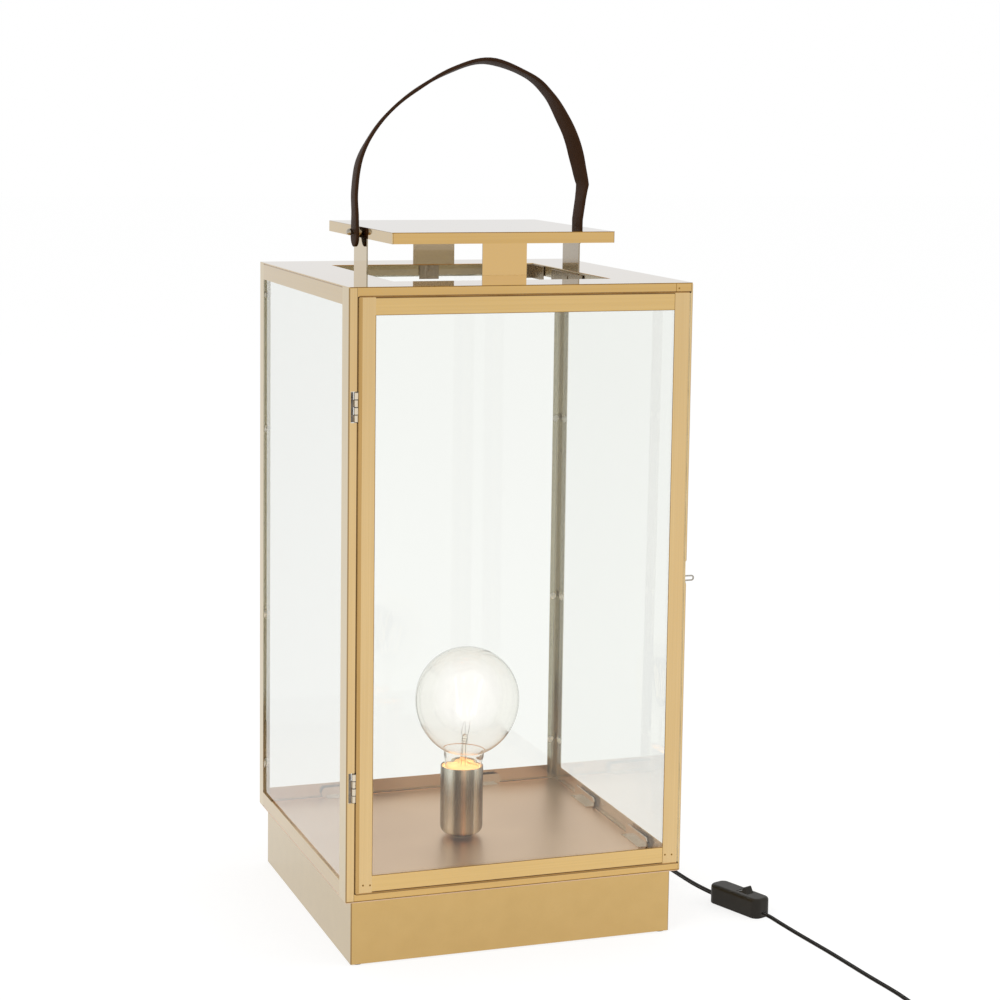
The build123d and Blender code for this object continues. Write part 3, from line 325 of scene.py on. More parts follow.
def sheet_metal(
    name, light, dark, smooth, dull, lines_per_metre, bump=0.02, coat=0.0, bare_and_shade=None, fold_shade=0.0
):
    """A metal with polishing lines in its colour, gloss and relief, painted brown shade on its folds, and,
    with an inner tone, a painted cooler reflection on its side walls and an inner side that is partly
    bare sheet and partly painted shade.
    """
    material, tree, shader = new_material(name)
    marks = tree.nodes.new("ShaderNodeGroup")
    marks.node_tree = sheet_finish
    finish = {
        "Lines Per Metre": lines_per_metre,
        "Light": light,
        "Dark": dark,
        "Smooth": smooth,
        "Dull": dull,
        "Bare": bare_and_shade or light,
        "Bare Share": 1.0 if bare_and_shade else 0.0,
        "Fold": painted_fold_shade,
        "Fold Share": fold_shade,
    }
    set_inputs(tree, marks, finish)
    made = marks.outputs
    set_inputs(tree, shader, {"Base Color": made["Color"], "Roughness": made["Roughness"]})
    add_relief(tree, shader, made["Height"], bump, 0.0004)
    set_inputs(tree, shader, {"Metallic": 1.0, "Coat Weight": coat})
    set_inputs(tree, shader, {"Coat Roughness": 0.02, "Coat IOR": 1.6})
    return material


def speckled(name, dark, light, specks, roughness):
    """A dull stuff with fine specks of a lighter tone."""
    material, tree, shader = new_material(name)
    tone = between(tree, noise(tree, specks), dark, light)
    set_inputs(tree, shader, {"Base Color": tone, "Roughness": roughness})
    return material


def dress(material, *names):
    """Gives CAD nodes their finish, in the material slots that they came with."""
    for name in names:
        for slot in nodes[name].material_slots:
            slot.material = material


bare_steel = srgb(176, 164, 138)
brass_plinth = sheet_metal(
    "brass_polished_plinth",
    srgb(218, 179, 108),
    srgb(213, 174, 102),
    0.04,
    0.08,
    (60.0, 60.0, 60.0),
    bump=0.01,
    coat=1.0,
    bare_and_shade=bare_steel,
    fold_shade=0.8,
)
floor_satin = sheet_metal(
    "floor_satin", srgb(238, 206, 176), srgb(228, 194, 164), 0.36, 0.40, (12.0, 12.0, 12.0), bump=0.0
)
foot_rubber = speckled("foot_rubber", srgb(38, 37, 36), srgb(62, 60, 58), 900.0, 0.85)
dress(brass_plinth, "plinth")
dress(foot_rubber, "foot_pads")
dress(floor_satin, "floor_plate")

# ---- Cabinet posts, rails and top plate --------------------------------------------------------
# Folded angle posts at the corners, spot welded to folded rails at the floor and under the top
# plate. Their front faces are belt polished along their length.

# polishing lines per metre, for a belt that runs across, in depth or upright
across_belt = (5.0, 700.0, 700.0)
depth_belt = (700.0, 5.0, 700.0)
upright_belt = (700.0, 700.0, 5.0)


def lacquered(name, light, dark, belt, bare_and_shade=bare_steel, fold_shade=0.8):
    """Belt-polished brass sheet under clear lacquer, with painted brown shade at its folds and an inner
    side that is partly bare sheet and partly painted shade.
    """
    return sheet_metal(name, light, dark, 0.03, 0.08, belt, coat=1.0, bare_and_shade=bare_and_shade, fold_shade=fold_shade)


upright_light = srgb(236, 201, 140)
upright_dark = srgb(229, 192, 129)
brass_upright = lacquered("brass_polished_upright", upright_light, upright_dark, upright_belt)
dress(brass_upright, "post_front_left", "post_front_right", "post_back_left", "post_back_right")
rail_light = srgb(229, 187, 112)
rail_dark = srgb(222, 178, 102)
brass_cross = lacquered("brass_polished_across", rail_light, rail_dark, across_belt)
dress(brass_cross, "bottom_rail_front", "top_rail_front", "top_rail_back")
# painted light and shade: the inner sides take a lighter or darker tone per piece, lightest on the back
# rail, whose inside faces the front
back_inside_painted_light = srgb(222, 186, 154)
brass_back_rail = lacquered("brass_back_rail", rail_light, rail_dark, across_belt, back_inside_painted_light)
dress(brass_back_rail, "bottom_rail_back")
brass_depth = lacquered(
    "brass_polished_in_depth", srgb(228, 187, 117), srgb(221, 178, 107), depth_belt, srgb(204, 176, 148)
)
dress(brass_depth, "bottom_rail_left", "bottom_rail_right", "top_rail_left", "top_rail_right")
# painted shade: the turned-down flange round the plate's opening takes the darkest inner tone
brass_plate = lacquered(
    "brass_polished_plate", rail_light, rail_dark, depth_belt, srgb(174, 154, 116), fold_shade=0.0
)
dress(brass_plate, "top_plate")


def mesh_from(shape, name, smooth=True):
    """The finished mesh of a shape, with its faces turned outwards."""
    bmesh.ops.recalc_face_normals(shape, faces=shape.faces)
    mesh = bpy.data.meshes.new(name)
    shape.to_mesh(mesh)
    shape.free()
    if smooth:
        mesh.shade_smooth()
    return mesh


def link_piece(name, mesh, material, body, slot, *stands_for):
    """Links a finished mesh as a piece that rides on a body and stands for CAD nodes."""
    mesh.materials.append(material)
    piece = new_object(name, mesh)
    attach(piece, body)
    if stands_for:
        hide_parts(*stands_for)
    return piece


def thin_trim(name, boxes_mm, material, body):
    """Narrow strips with bevelled edges, each given by its lowest and highest corner."""
    shape = bmesh.new()
    for low, high in boxes_mm:
        made = bmesh.ops.create_cube(shape, size=1.0)["verts"]
        size = Vector(high) - Vector(low)
        middle = (Vector(high) + Vector(low)) / 2
        for vertex in made:
            vertex.co = (middle + vertex.co * size) * mm
        edges = {edge for vertex in made for edge in vertex.link_edges}
        width = min(size) * 0.25 * mm
        bmesh.ops.bevel(shape, geom=list(edges), offset=width, segments=1, affect="EDGES")
    link_piece(name, mesh_from(shape, name, smooth=False), material, body, "brass_sheet")


# painted shade: brown lines along edges and joints where shade falls, and the brown dots of the spot welds
edge_marks = (40.0, 40.0, 40.0)
edge_shade_and_weld_brown = sheet_metal("edge_shade_and_weld_brown", srgb(176, 134, 68), srgb(132, 98, 44), 0.2, 0.3, edge_marks)
# painted highlight: bright lines where edges catch the light
painted_edge_highlight = sheet_metal("painted_edge_highlight", srgb(244, 220, 172), srgb(228, 200, 150), 0.2, 0.3, edge_marks)
# painted shade lines under the top plate's front edge, down a joint in its front, and along the plinth's
# top
thin_trim(
    "plate_edges",
    (
        ((-151.6, -152.62, 575.35), (151.6, -152.2, 576.05)),
        ((136.7, -152.6, 568.3), (137.2, -152.45, 575.3)),
        ((-152.0, -152.6, 57.9), (152.0, -152.4, 58.65)),
    ),
    edge_shade_and_weld_brown,
    "lantern",
)
# painted highlight down the post's hem beside the door, closing over most of the gap there
thin_trim("hem_highlight", (((150.4, -152.55, 65.0), (151.5, -151.9, 567.5)),), painted_edge_highlight, "lantern")
thin_trim(
    "corner_laps",
    (
        ((-145.2, -152.57, 568.1), (-143.8, -152.45, 575.4)),
        ((-145.2, -152.57, 58.7), (-143.8, -152.45, 64.5)),
    ),
    brass_cross,
    "lantern",
)


def join_rings(shape, rings):
    """Faces between each ring of points and the next."""
    made = []
    for near, far in zip(rings, rings[1:]):
        for side in range(len(near)):
            ahead = (side + 1) % len(near)
            made.append(shape.faces.new((near[side], near[ahead], far[ahead], far[side])))
    return made


def weld_dots(name, places, body):
    """Shallow round dimples on the front faces, given by (x, height)."""
    sides = 16
    spokes = [Vector((cos(tau * step / sides), 0, sin(tau * step / sides))) for step in range(sides)]
    shape = bmesh.new()
    for x, height in places:
        rings = []
        for radius, depth in ((0.85, -152.52), (0.4, -152.66)):
            middle = Vector((x, depth, height))
            rings.append([shape.verts.new((middle + spoke * radius) * mm) for spoke in spokes])
        join_rings(shape, rings)
        shape.faces.new(rings[1])
        shape.faces.new(rings[0][::-1])
    link_piece(name, mesh_from(shape, name, smooth=False), edge_shade_and_weld_brown, body, "brass_sheet")


# painted light: strips in the narrow gaps round the door carry a lit brown where the gaps would fall into
# shade
painted_gap_light = sheet_metal("painted_gap_light", srgb(214, 170, 108), srgb(190, 146, 86), 0.35, 0.45, edge_marks)
thin_trim(
    "painted_gap_strips",
    (
        ((-143.6, -152.32, 64.2), (149.4, -151.6, 64.95)),
        ((-143.6, -152.32, 567.55), (149.4, -151.6, 568.2)),
        ((-144.46, -152.32, 65.3), (-144.14, -151.6, 143.0)),
        ((-144.46, -152.32, 170.0), (-144.14, -151.6, 464.0)),
        ((-144.46, -152.32, 491.0), (-144.14, -151.6, 567.2)),
        ((150.0, -151.65, 65.2), (150.4, -151.2, 567.3)),
    ),
    painted_gap_light,
    "lantern",
)

weld_dots("plate_weld_dots", ((139.6, 571.3),), "lantern")

# ---- Raised cap and its legs -------------------------------------------------------------------
# A square cap with a turned-down edge stands on four bent legs, so that the lamp's heat can leave
# between it and the opening in the top plate.

dress(brass_cross, "cap_plate")
# painted light and shade: the four legs are lit and shaded copies of one sheet; the left leg's face is
# paler and cooler, and the inside is lighter on the back leg and darker on the right one
leg_lit_and_shaded_tones = (
    ("cap_leg_front", srgb(232, 190, 119), bare_steel),
    ("cap_leg_left", srgb(226, 194, 146), bare_steel),
    ("cap_leg_back", srgb(232, 190, 119), srgb(196, 174, 138)),
    ("cap_leg_right", srgb(232, 190, 119), srgb(166, 150, 124)),
)
for name, face, inside in leg_lit_and_shaded_tones:
    brass_leg = sheet_metal(
        f"brass_{name}", face, face, 0.04, 0.08, upright_belt, bump=0.01, coat=1.0, bare_and_shade=inside, fold_shade=0.6
    )
    dress(brass_leg, name)
# painted shade: a brown line along the cap's front edge
thin_trim("cap_edge", (((-100.2, -100.62, 616.45), (100.2, -100.2, 617.05)),), edge_shade_and_weld_brown, "lantern")
# painted highlight down the cap's front-left corner
thin_trim("cap_corner_highlight", (((-100.66, -100.66, 607.6), (-99.9, -99.9, 616.4)),), painted_edge_highlight, "lantern")

# ---- Fixed panes, pads and clips ---------------------------------------------------------------
# Three panes of 3 mm float glass lie against clear soft discs on the posts. Tabs with rounded ends
# hold them at the floor, and small screwed brackets hold them under the top plate.


def clear(name, tint, roughness, reflect_ior):
    """Clear glass that lets lamp light through as it does sight."""
    material, tree, shader = new_material(name)
    glass = {"Base Color": tint, "Roughness": roughness, "IOR": reflect_ior}
    set_inputs(tree, shader, {**glass, "Transmission Weight": 1.0})
    passing = tree.nodes.new("ShaderNodeBsdfTransparent")
    passing.inputs["Color"].default_value = tint
    rays = ray_kinds(tree)
    shaded = math_node(tree, "MAXIMUM", rays["Is Shadow Ray"], rays["Is Diffuse Ray"])
    mirrored = math_node(tree, "SUBTRACT", rays["Is Glossy Ray"], rays["Is Transmission Ray"])
    mix_surface(tree, math_node(tree, "MAXIMUM", shaded, mirrored), shader, passing)
    return material


pane_glass = clear("pane_glass", srgb(251, 252, 250), 0.0, 1.5)
dress(pane_glass, "glass_left", "glass_right", "glass_back")
pad_rubber = speckled("pad_rubber", srgb(214, 210, 200), srgb(236, 233, 226), 400.0, 0.3)
dress(pad_rubber, "glass_pads")
clip_steel = sheet_metal(
    "clip_steel", srgb(176, 160, 138), srgb(140, 124, 102), 0.18, 0.30, (300.0, 300.0, 40.0)
)
dress(clip_steel, "glass_clips_top")
# painted light: the clips on the floor take a lighter copy of the clip steel than the clips under the top
# plate
clip_steel_painted_light = sheet_metal(
    "clip_steel_painted_light", srgb(226, 212, 196), srgb(206, 190, 170), 0.10, 0.16, (30.0, 30.0, 30.0), 0.0
)
dress(clip_steel_painted_light, "glass_clips_bottom")
# the brackets' ends show under the edge of the top plate's opening
thin_trim(
    "bracket_ends",
    (
        ((-14.5, 96.5, 562.2), (4.5, 97.5, 575.2)),
        ((-7.5, 95.9, 565.0), (-2.5, 96.6, 570.0)),
        ((90.0, 96.5, 562.0), (97.5, 97.5, 575.0)),
        ((96.5, 66.0, 562.0), (97.5, 97.5, 575.0)),
        ((96.5, -34.0, 563.0), (97.5, 44.0, 574.0)),
        ((95.9, 2.0, 565.0), (96.6, 9.0, 571.0)),
    ),
    clip_steel,
    "lantern",
)
screw_steel = sheet_metal(
    "screw_steel", srgb(150, 142, 132), srgb(110, 102, 94), 0.22, 0.34, (500.0, 500.0, 500.0)
)
dress(screw_steel, "screws")

# ---- Door --------------------------------------------------------------------------------------
# Two stiles and two rails, mitreless and spot welded at the corners, hold one pane from behind with
# six small clips. It hangs on a pair of butt hinges and has a wire loop for a pull.

dress(brass_upright, "door_stile_left", "door_stile_right")
brass_door_rail = lacquered(
    "brass_polished_door_rail", srgb(237, 198, 126), srgb(230, 190, 117), across_belt
)
dress(brass_door_rail, "door_rail_top", "door_rail_bottom")
# painted shadow: brown lines along the inner edges of the stiles and rails, where the pane meets the frame
thin_trim(
    "door_sheet_edges",
    (
        ((-129.8, -152.62, 79.6), (-129.35, -152.3, 552.9)),
        ((135.6, -152.62, 65.6), (136.0, -152.3, 567.0)),
        ((-129.6, -152.62, 79.3), (135.8, -152.3, 79.85)),
        ((-129.6, -152.62, 552.65), (135.8, -152.3, 553.1)),
    ),
    edge_shade_and_weld_brown,
    "door",
)
# painted shade: a darker band down the door's hinged left edge
painted_band_shade = sheet_metal(
    "painted_band_shade", srgb(216, 176, 114), srgb(200, 160, 98), 0.16, 0.24, upright_belt
)
# painted highlight down the door's closing edge, which also hides the gap beside it
thin_trim(
    "door_edge_highlight", (((149.4, -152.55, 65.4), (150.3, -151.7, 567.2)),), painted_edge_highlight, "door"
)
thin_trim(
    "door_edge_shade_band", (((-144.0, -152.64, 65.4), (-140.9, -152.4, 567.2)),), painted_band_shade, "door"
)
door_welds = ((-137.4, 71.7), (-131.3, 71.3), (138.2, 72.6), (144.6, 72.2))
weld_dots("door_weld_dots", door_welds, "door")
dress(pane_glass, "door_glass")
dress(clip_steel, "door_glass_clips")
hinge_steel = sheet_metal(
    "hinge_steel", srgb(150, 142, 132), srgb(84, 78, 72), 0.20, 0.36, (500.0, 500.0, 160.0), bump=0.08
)
# painted highlight: the rolled barrels are painted bright between their joints, and the flat leaves keep
# the steel's dark tone
barrel_left = -0.1477
barrel_right = -0.1447
hinge_low = 0.144
hinge_spacing = 0.321
between_hinges = 0.3
joints_per_metre = 160.0
half_joint = 0.07
tree = hinge_steel.node_tree
shader = tree.nodes["Principled BSDF"]
place = split_xyz(tree, surface_place(tree)["Object"])
on_barrel = math_node(tree, "GREATER_THAN", place["X"], barrel_left)
before_gap = math_node(tree, "LESS_THAN", place["X"], barrel_right)
on_barrel = math_node(tree, "MULTIPLY", on_barrel, before_gap)
upper_hinge = math_node(tree, "GREATER_THAN", place["Z"], between_hinges)
up_barrel = math_node(tree, "MULTIPLY_ADD", upper_hinge, -hinge_spacing, place["Z"])
up_barrel = math_node(tree, "SUBTRACT", up_barrel, hinge_low)
up_barrel = math_node(tree, "MULTIPLY", up_barrel, joints_per_metre)
off_joint = math_node(tree, "PINGPONG", up_barrel, 0.5)
off_joint = math_node(tree, "GREATER_THAN", off_joint, half_joint)
on_barrel = math_node(tree, "MULTIPLY", on_barrel, off_joint)
leaf_tone = shader.inputs["Base Color"].links[0].from_socket
painted_barrel_highlight = between(tree, on_barrel, leaf_tone, srgb(242, 228, 204))
tree.links.new(painted_barrel_highlight, shader.inputs["Base Color"])
dress(hinge_steel, "hinge_frame_leaves", "hinge_door_leaves")
pin_steel = sheet_metal(
    "pin_steel", srgb(206, 200, 190), srgb(172, 166, 156), 0.12, 0.2, (800.0, 800.0, 40.0)
)
dress(pin_steel, "hinge_pins", "catch_spring", "pull_loop")

# ---- Studs and strap handle --------------------------------------------------------------------
# A strap of 3 mm saddle leather, cut round at both ends, with burnished edges. It is pushed over a
# turned ball stud at each side of the cap, and its own springiness holds it up in an arch.


def smooth_through(points, per_span):
    """Points along a smooth line that passes through the given ones."""
    padded = [points[0] * 2 - points[1], *points, points[-1] * 2 - points[-2]]
    line = []
    for before, start, end, after in zip(padded, padded[1:], padded[2:], padded[3:]):
        for step in range(per_span):
            t = step / per_span
            leaving = (end - before) / 2
            arriving = (after - start) / 2
            line.append(
                start * (2 * t**3 - 3 * t**2 + 1)
                + leaving * (t**3 - 2 * t**2 + t)
                + end * (3 * t**2 - 2 * t**3)
                + arriving * (t**3 - t**2)
            )
    line.append(points[-1])
    return line


stud_steel = sheet_metal(
    "stud_steel", srgb(204, 196, 182), srgb(152, 144, 130), 0.08, 0.16, (300.0, 300.0, 300.0)
)
dress(stud_steel, "handle_studs")

strap_width = 20.0
strap_thickness = 3.0
stud_height = 612.15
strap_centre = 104.4
strap_end = stud_height - 13.0
crown = stud_height + 150.6
# the strap's middle line: up from the left stud, over the crown, and down to the kink at the right
arch_points = [
    (-strap_centre, stud_height + 15),
    (-strap_centre - 0.5, stud_height + 36),
    (-strap_centre + 3.4, crown - 88.2),
    (-strap_centre + 14.6, crown - 65.8),
    (-strap_centre + 30.7, crown - 46.1),
    (-strap_centre + 54.1, crown - 27.2),
    (-strap_centre + 86, crown - 9.2),
    (16.4, crown),
    (strap_centre - 49.8, crown - 12.2),
    (strap_centre - 30.0, crown - 28.6),
    (strap_centre - 17.0, crown - 48.1),
    (strap_centre - 5.7, crown - 71.5),
    (strap_centre + 4.3, crown - 109.1),
]
strap_line = [Vector((-strap_centre, 0, strap_end + 4.0 * step)) for step in range(7)]
strap_line += smooth_through([Vector((x, 0, z)) for x, z in arch_points], 8)
kink = strap_line[-1]
crease = Vector((strap_centre, 0, stud_height + 10))
strap_line += [kink.lerp(crease, share) for share in (0.15, 0.4, 0.7, 0.9, 1.0)]
below = crease.z - strap_end
strap_line += [crease - Vector((0, 0, below * share)) for share in (0.15, 0.35, 0.6, 0.8, 1.0)]


def fine_start(points, reach, steps):
    """Closer and closer points over the first stretch of a line, and the line's points past it."""
    wanted = [reach * (1 - cos(pi / 2 * (step / steps))) for step in range(steps)]
    close = []
    length = 0.0
    for place, run in enumerate(after - before for before, after in zip(points, points[1:])):
        while len(close) < steps and wanted[len(close)] <= length + run.length:
            close.append(points[place] + run * ((wanted[len(close)] - length) / run.length))
        length += run.length
        if length >= reach:
            break
    return close, points[place + 1:]


def run_lengths(line):
    """How far along a line each of its points is."""
    runs = [0.0]
    for before, after in zip(line, line[1:]):
        runs.append(runs[-1] + (after - before).length)
    return runs


def headings(line):
    """Which way a line runs at each of its points."""
    padded = [line[0], *line, line[-1]]
    return [(ahead - behind).normalized() for behind, ahead in zip(padded, padded[2:])]


# both ends are cut round, and need closer points
round_end = strap_width / 2
left_end, rest = fine_start(strap_line, round_end, 10)
right_end, rest = fine_start(rest[::-1], round_end, 10)
strap_line = left_end + rest[::-1] + right_end[::-1]
strap_runs = run_lengths(strap_line)
# the leather is twisted a little about its own length: degrees at a distance from its left end
strap_twist = (
    (0, 0),
    (40, 5),
    (68, 5),
    (100, 12),
    (130, 12),
    (160, 8),
    (194, 11),
    (232, 9),
    (264, 2),
    (290, 4),
    (330, 15),
    (356, 18),
    (374, 13),
    (396, 2),
    (442, 0),
)


def twist_at(run):
    """How far the strap is turned about its own length there, in radians."""
    for (low, start), (high, end) in zip(strap_twist, strap_twist[1:]):
        if run <= high:
            share = (run - low) / (high - low)
            return radians(start + (end - start) * share * share * (3 - 2 * share))
    return 0.0


edge_radius = 0.9
half_thick = strap_thickness / 2
strap_shape = bmesh.new()
rings = []
for centre, along, run in zip(strap_line, headings(strap_line), strap_runs):
    outward = Vector((-along.z, 0, along.x))
    turn = twist_at(run)
    flat_way = Vector((0, cos(turn), 0)) - outward * sin(turn)
    face_way = Vector((0, sin(turn), 0)) + outward * cos(turn)
    from_end = min(run, strap_runs[-1] - run)
    half_width = round_end
    if from_end < round_end:
        half_width = max(sqrt(round_end**2 - (round_end - from_end) ** 2), 0.6)
    corner = min(edge_radius, half_width * 0.6)
    section = []
    for quarter, (side, face) in enumerate(((1, 1), (-1, 1), (-1, -1), (1, -1))):
        for step in range(4):
            angle = pi / 2 * (quarter + step / 3)
            across = side * (half_width - corner) + corner * cos(angle)
            thick = face * (half_thick - corner) + corner * sin(angle)
            section.append(centre + flat_way * across + face_way * thick)
    rings.append([strap_shape.verts.new(point * mm) for point in section])
join_rings(strap_shape, rings)
strap_shape.faces.new(rings[0][::-1])
strap_shape.faces.new(rings[-1])
strap_mesh = mesh_from(strap_shape, "strap_handle")

strap_leather, tree, shader = new_material("strap_leather")
place = surface_place(tree)["Object"]
pores = tree.nodes.new("ShaderNodeTexVoronoi")
pores.inputs["Scale"].default_value = 1500.0
tree.links.new(place, pores.inputs["Vector"])
creases = noise(tree, 260.0, 5.0, place)
worn = math_node(tree, "MULTIPLY", creases, 0.5)
worn = math_node(tree, "MULTIPLY_ADD", noise(tree, 30.0, at=place), 0.5, worn)
hide_tone = between(tree, worn, srgb(38, 24, 14), srgb(74, 50, 34))
grain = math_node(tree, "MULTIPLY_ADD", pores.outputs["Distance"], 0.6, creases)
add_relief(tree, shader, grain, 0.35, 0.0003)
dullness = math_node(tree, "MULTIPLY_ADD", creases, 0.2, 0.42)
hide = {"Base Color": hide_tone, "Roughness": dullness, "Specular IOR Level": 0.06}
set_inputs(tree, shader, hide)
link_piece("strap_handle", strap_mesh, strap_leather, "handle", "leather", "handle_strap")

# ---- Lampholder --------------------------------------------------------------------------------
# A deep-drawn cup in brushed nickel with a rolled lip, round the porcelain core of the socket. A
# threaded nipple and two nuts clamp it to the floor plate.


def turned_piece(name, profile_mm, steps, placed, material, slot, *stands_for):
    """A piece turned round Z from (radius, height) points, then set in place by a matrix."""
    shape = bmesh.new()
    spokes = [Vector((cos(tau * step / steps), sin(tau * step / steps), 0)) for step in range(steps)]
    turned = []
    for radius, height in profile_mm:
        middle = Vector((0, 0, height))
        if radius < 1e-6:
            turned.append([shape.verts.new(middle * mm)] * steps)
            continue
        turned.append([shape.verts.new((middle + spoke * radius) * mm) for spoke in spokes])
    for lower, upper in zip(turned, turned[1:]):
        for step in range(steps):
            ahead = (step + 1) % steps
            corners = []
            for corner in (lower[step], lower[ahead], upper[ahead], upper[step]):
                if corner not in corners:
                    corners.append(corner)
            if len(corners) > 2:
                shape.faces.new(corners)
    mesh = mesh_from(shape, name)
    if placed is not None:
        mesh.transform(placed)
    return link_piece(name, mesh, material, "lantern", slot, *stands_for)


def arc(middle, wide, start, end, steps, high=None):
    """Profile points round a middle from one angle to another, without the first."""
    line = []
    for step in range(1, steps + 1):
        angle = start + (end - start) * step / steps
        line.append((middle[0] + wide * cos(angle), middle[1] + (high or wide) * sin(angle)))
    return line


cup_radius = 19.5
cup_base = 60.0
cup_lip = 124.0
cup_wall = 1.0
cup_corner = 8.0
cord_hole = 5.1
corner_middle = (cup_radius - cup_corner, cup_base + cup_corner)
lip_middle = (cup_radius - cup_wall / 2, cup_lip - cup_wall / 2)
cup_profile = [(cord_hole, cup_base + cup_wall), (cord_hole, cup_base), (corner_middle[0], cup_base)]
cup_profile += arc(corner_middle, cup_corner, -pi / 2, 0, 8)
cup_profile += [(cup_radius, height) for height in (80.0, 95.0, 110.0, 122.9)]
cup_profile += arc(lip_middle, cup_wall / 2, 0, pi, 8)[:-1]
inner_heights = (122.0, 100.0, 80.0, cup_base + cup_corner)
cup_profile += [(cup_radius - cup_wall, height) for height in inner_heights]
cup_profile += arc(corner_middle, cup_corner - cup_wall, 0, -pi / 2, 6)
cup_profile.append((cord_hole, cup_base + cup_wall))

cup_nickel, tree, shader = new_material("cup_nickel")
place = split_xyz(tree, surface_place(tree)["Object"])
bearing = math_node(tree, "ARCTAN2", place["Y"], place["X"])
around = tree.nodes.new("ShaderNodeCombineXYZ")
round_x = math_node(tree, "COSINE", bearing)
round_y = math_node(tree, "SINE", bearing)
rise = math_node(tree, "MULTIPLY", place["Z"], 0.8)
set_inputs(tree, around, {"X": round_x, "Y": round_y, "Z": rise})
wide_bands = noise(tree, 3.4, 1.0, around.outputs[0])
hair_lines = noise(tree, 90.0, 3.0, around.outputs[0])
# painted reflections: light and dark bands fixed round the wall from its left side to its right, with a
# warm band in the middle
painted_reflection_bands = (
    (0.00, (158, 147, 132)),
    (0.06, (160, 149, 132)),
    (0.14, (212, 207, 193)),
    (0.21, (244, 240, 228)),
    (0.28, (236, 232, 218)),
    (0.35, (158, 146, 126)),
    (0.47, (162, 147, 125)),
    (0.56, (232, 194, 158)),
    (0.65, (192, 178, 154)),
    (0.74, (168, 155, 136)),
    (0.81, (246, 240, 224)),
    (0.87, (212, 199, 178)),
    (0.95, (161, 148, 131)),
    (1.00, (140, 129, 113)),
)
painted_reflection_tone = tree.nodes.new("ShaderNodeValToRGB")
stops = painted_reflection_tone.color_ramp.elements
stops[0].color = srgb(*painted_reflection_bands[0][1])
stops[1].color = srgb(*painted_reflection_bands[-1][1])
for share, colour in painted_reflection_bands[1:-1]:
    stops.new(share).color = srgb(*colour)
# 0 at the wall's left side and 1 at its right, with the painted bands' edges broken up by the brushing
to_the_right = (24.18, -8.51)
round_cup = math_node(tree, "MULTIPLY_ADD", place["X"], to_the_right[0], 0.5)
round_cup = math_node(tree, "MULTIPLY_ADD", place["Y"], to_the_right[1], round_cup)
round_cup = math_node(tree, "MULTIPLY_ADD", hair_lines, 0.10, round_cup)
round_cup = math_node(tree, "MULTIPLY_ADD", wide_bands, 0.08, round_cup)
tree.links.new(math_node(tree, "SUBTRACT", round_cup, 0.09), painted_reflection_tone.inputs["Fac"])
add_relief(tree, shader, hair_lines, 0.08, 0.0003)
dullness = math_node(tree, "MULTIPLY_ADD", hair_lines, 0.12, 0.20)
nickel = {"Base Color": painted_reflection_tone.outputs["Color"], "Roughness": dullness, "Metallic": 1.0}
set_inputs(tree, shader, nickel)
turned_piece("lampholder_cup_drawn", cup_profile, 128, None, cup_nickel, "nickel", "lampholder_cup")

porcelain = speckled("porcelain", srgb(226, 220, 208), srgb(240, 236, 226), 260.0, 0.35)
dress(porcelain, "lampholder_core")
dress(pin_steel, "nipple", "holder_nuts")

# ---- Globe bulb --------------------------------------------------------------------------------
# A 95 mm clear globe blown in thin glass and crimped into an E27 screw cap. A glass stem carries two
# leads and a support wire, and the carbon wire zigzags between two rings of hooks. It is lit.

bulb_centre = 186.0
bulb_radius = 47.5
bulb_reach = 52.8
bulb_wall = 0.9
cap_low = 89.0
cap_high = 116.0
lean_pivot = Vector((0, 0, 102.5)) * mm
askew = (
    Matrix.Translation(lean_pivot)
    @ Matrix.Rotation(radians(3.0), 4, "Y")
    @ Matrix.Translation(-lean_pivot)
)


def smooth_profile(profile, per_span):
    """A turned outline drawn smoothly through its points, without crossing its axis."""
    line = smooth_through([Vector((*point, 0)) for point in profile], per_span)
    return [(max(point.x, 0.0), point.y) for point in line]


def globe_outline(inset):
    """The bulb's outline from its crown to its seam with the cap, a little inside its skin."""
    radius = bulb_radius - inset
    outline = [(0.0, bulb_centre + radius)]
    outline += arc((0, bulb_centre), radius, pi / 2, 0, 32)
    outline += arc((0, bulb_centre), radius, 0, radians(-67), 24, bulb_reach - inset)
    throat = (
        outline[-1],
        (18.2 - inset, bulb_centre - bulb_reach - 1.0 + inset),
        (17.3 - inset, 128.0),
        (16.5 - inset, 122.5),
        (13.1 - inset, cap_high),
    )
    return outline + smooth_profile(throat, 6)[1:]


globe_profile = globe_outline(0.0) + globe_outline(bulb_wall)[::-1]
globe_glass = clear("globe_glass", srgb(255, 254, 252), 0.0, 1.33)
turned_piece("bulb_globe", globe_profile, 128, askew, globe_glass, "bulb_glass", "bulb_glass")

thread_profile = [(0.0, 85.25), (5.0, 85.25), (6.0, 86.75), (11.1, cap_low)]
thread_pitch = 3.6
for thread_turn in range(6):
    low = cap_low + 2.0 + thread_turn * thread_pitch
    for radius, share in ((12.3, 0.0), (12.9, 0.25), (13.1, 0.5), (12.9, 0.75)):
        thread_profile.append((radius, low + thread_pitch * share))
thread_profile += [(12.3, cap_high - 3.2), (13.1, cap_high - 2.4), (13.1, cap_high), (0.0, cap_high)]
turned_piece("bulb_screw_cap", thread_profile, 96, askew, pin_steel, "nickel", "bulb_cap")

stem_glass = clear("stem_glass", srgb(254, 252, 247), 0.03, 1.12)
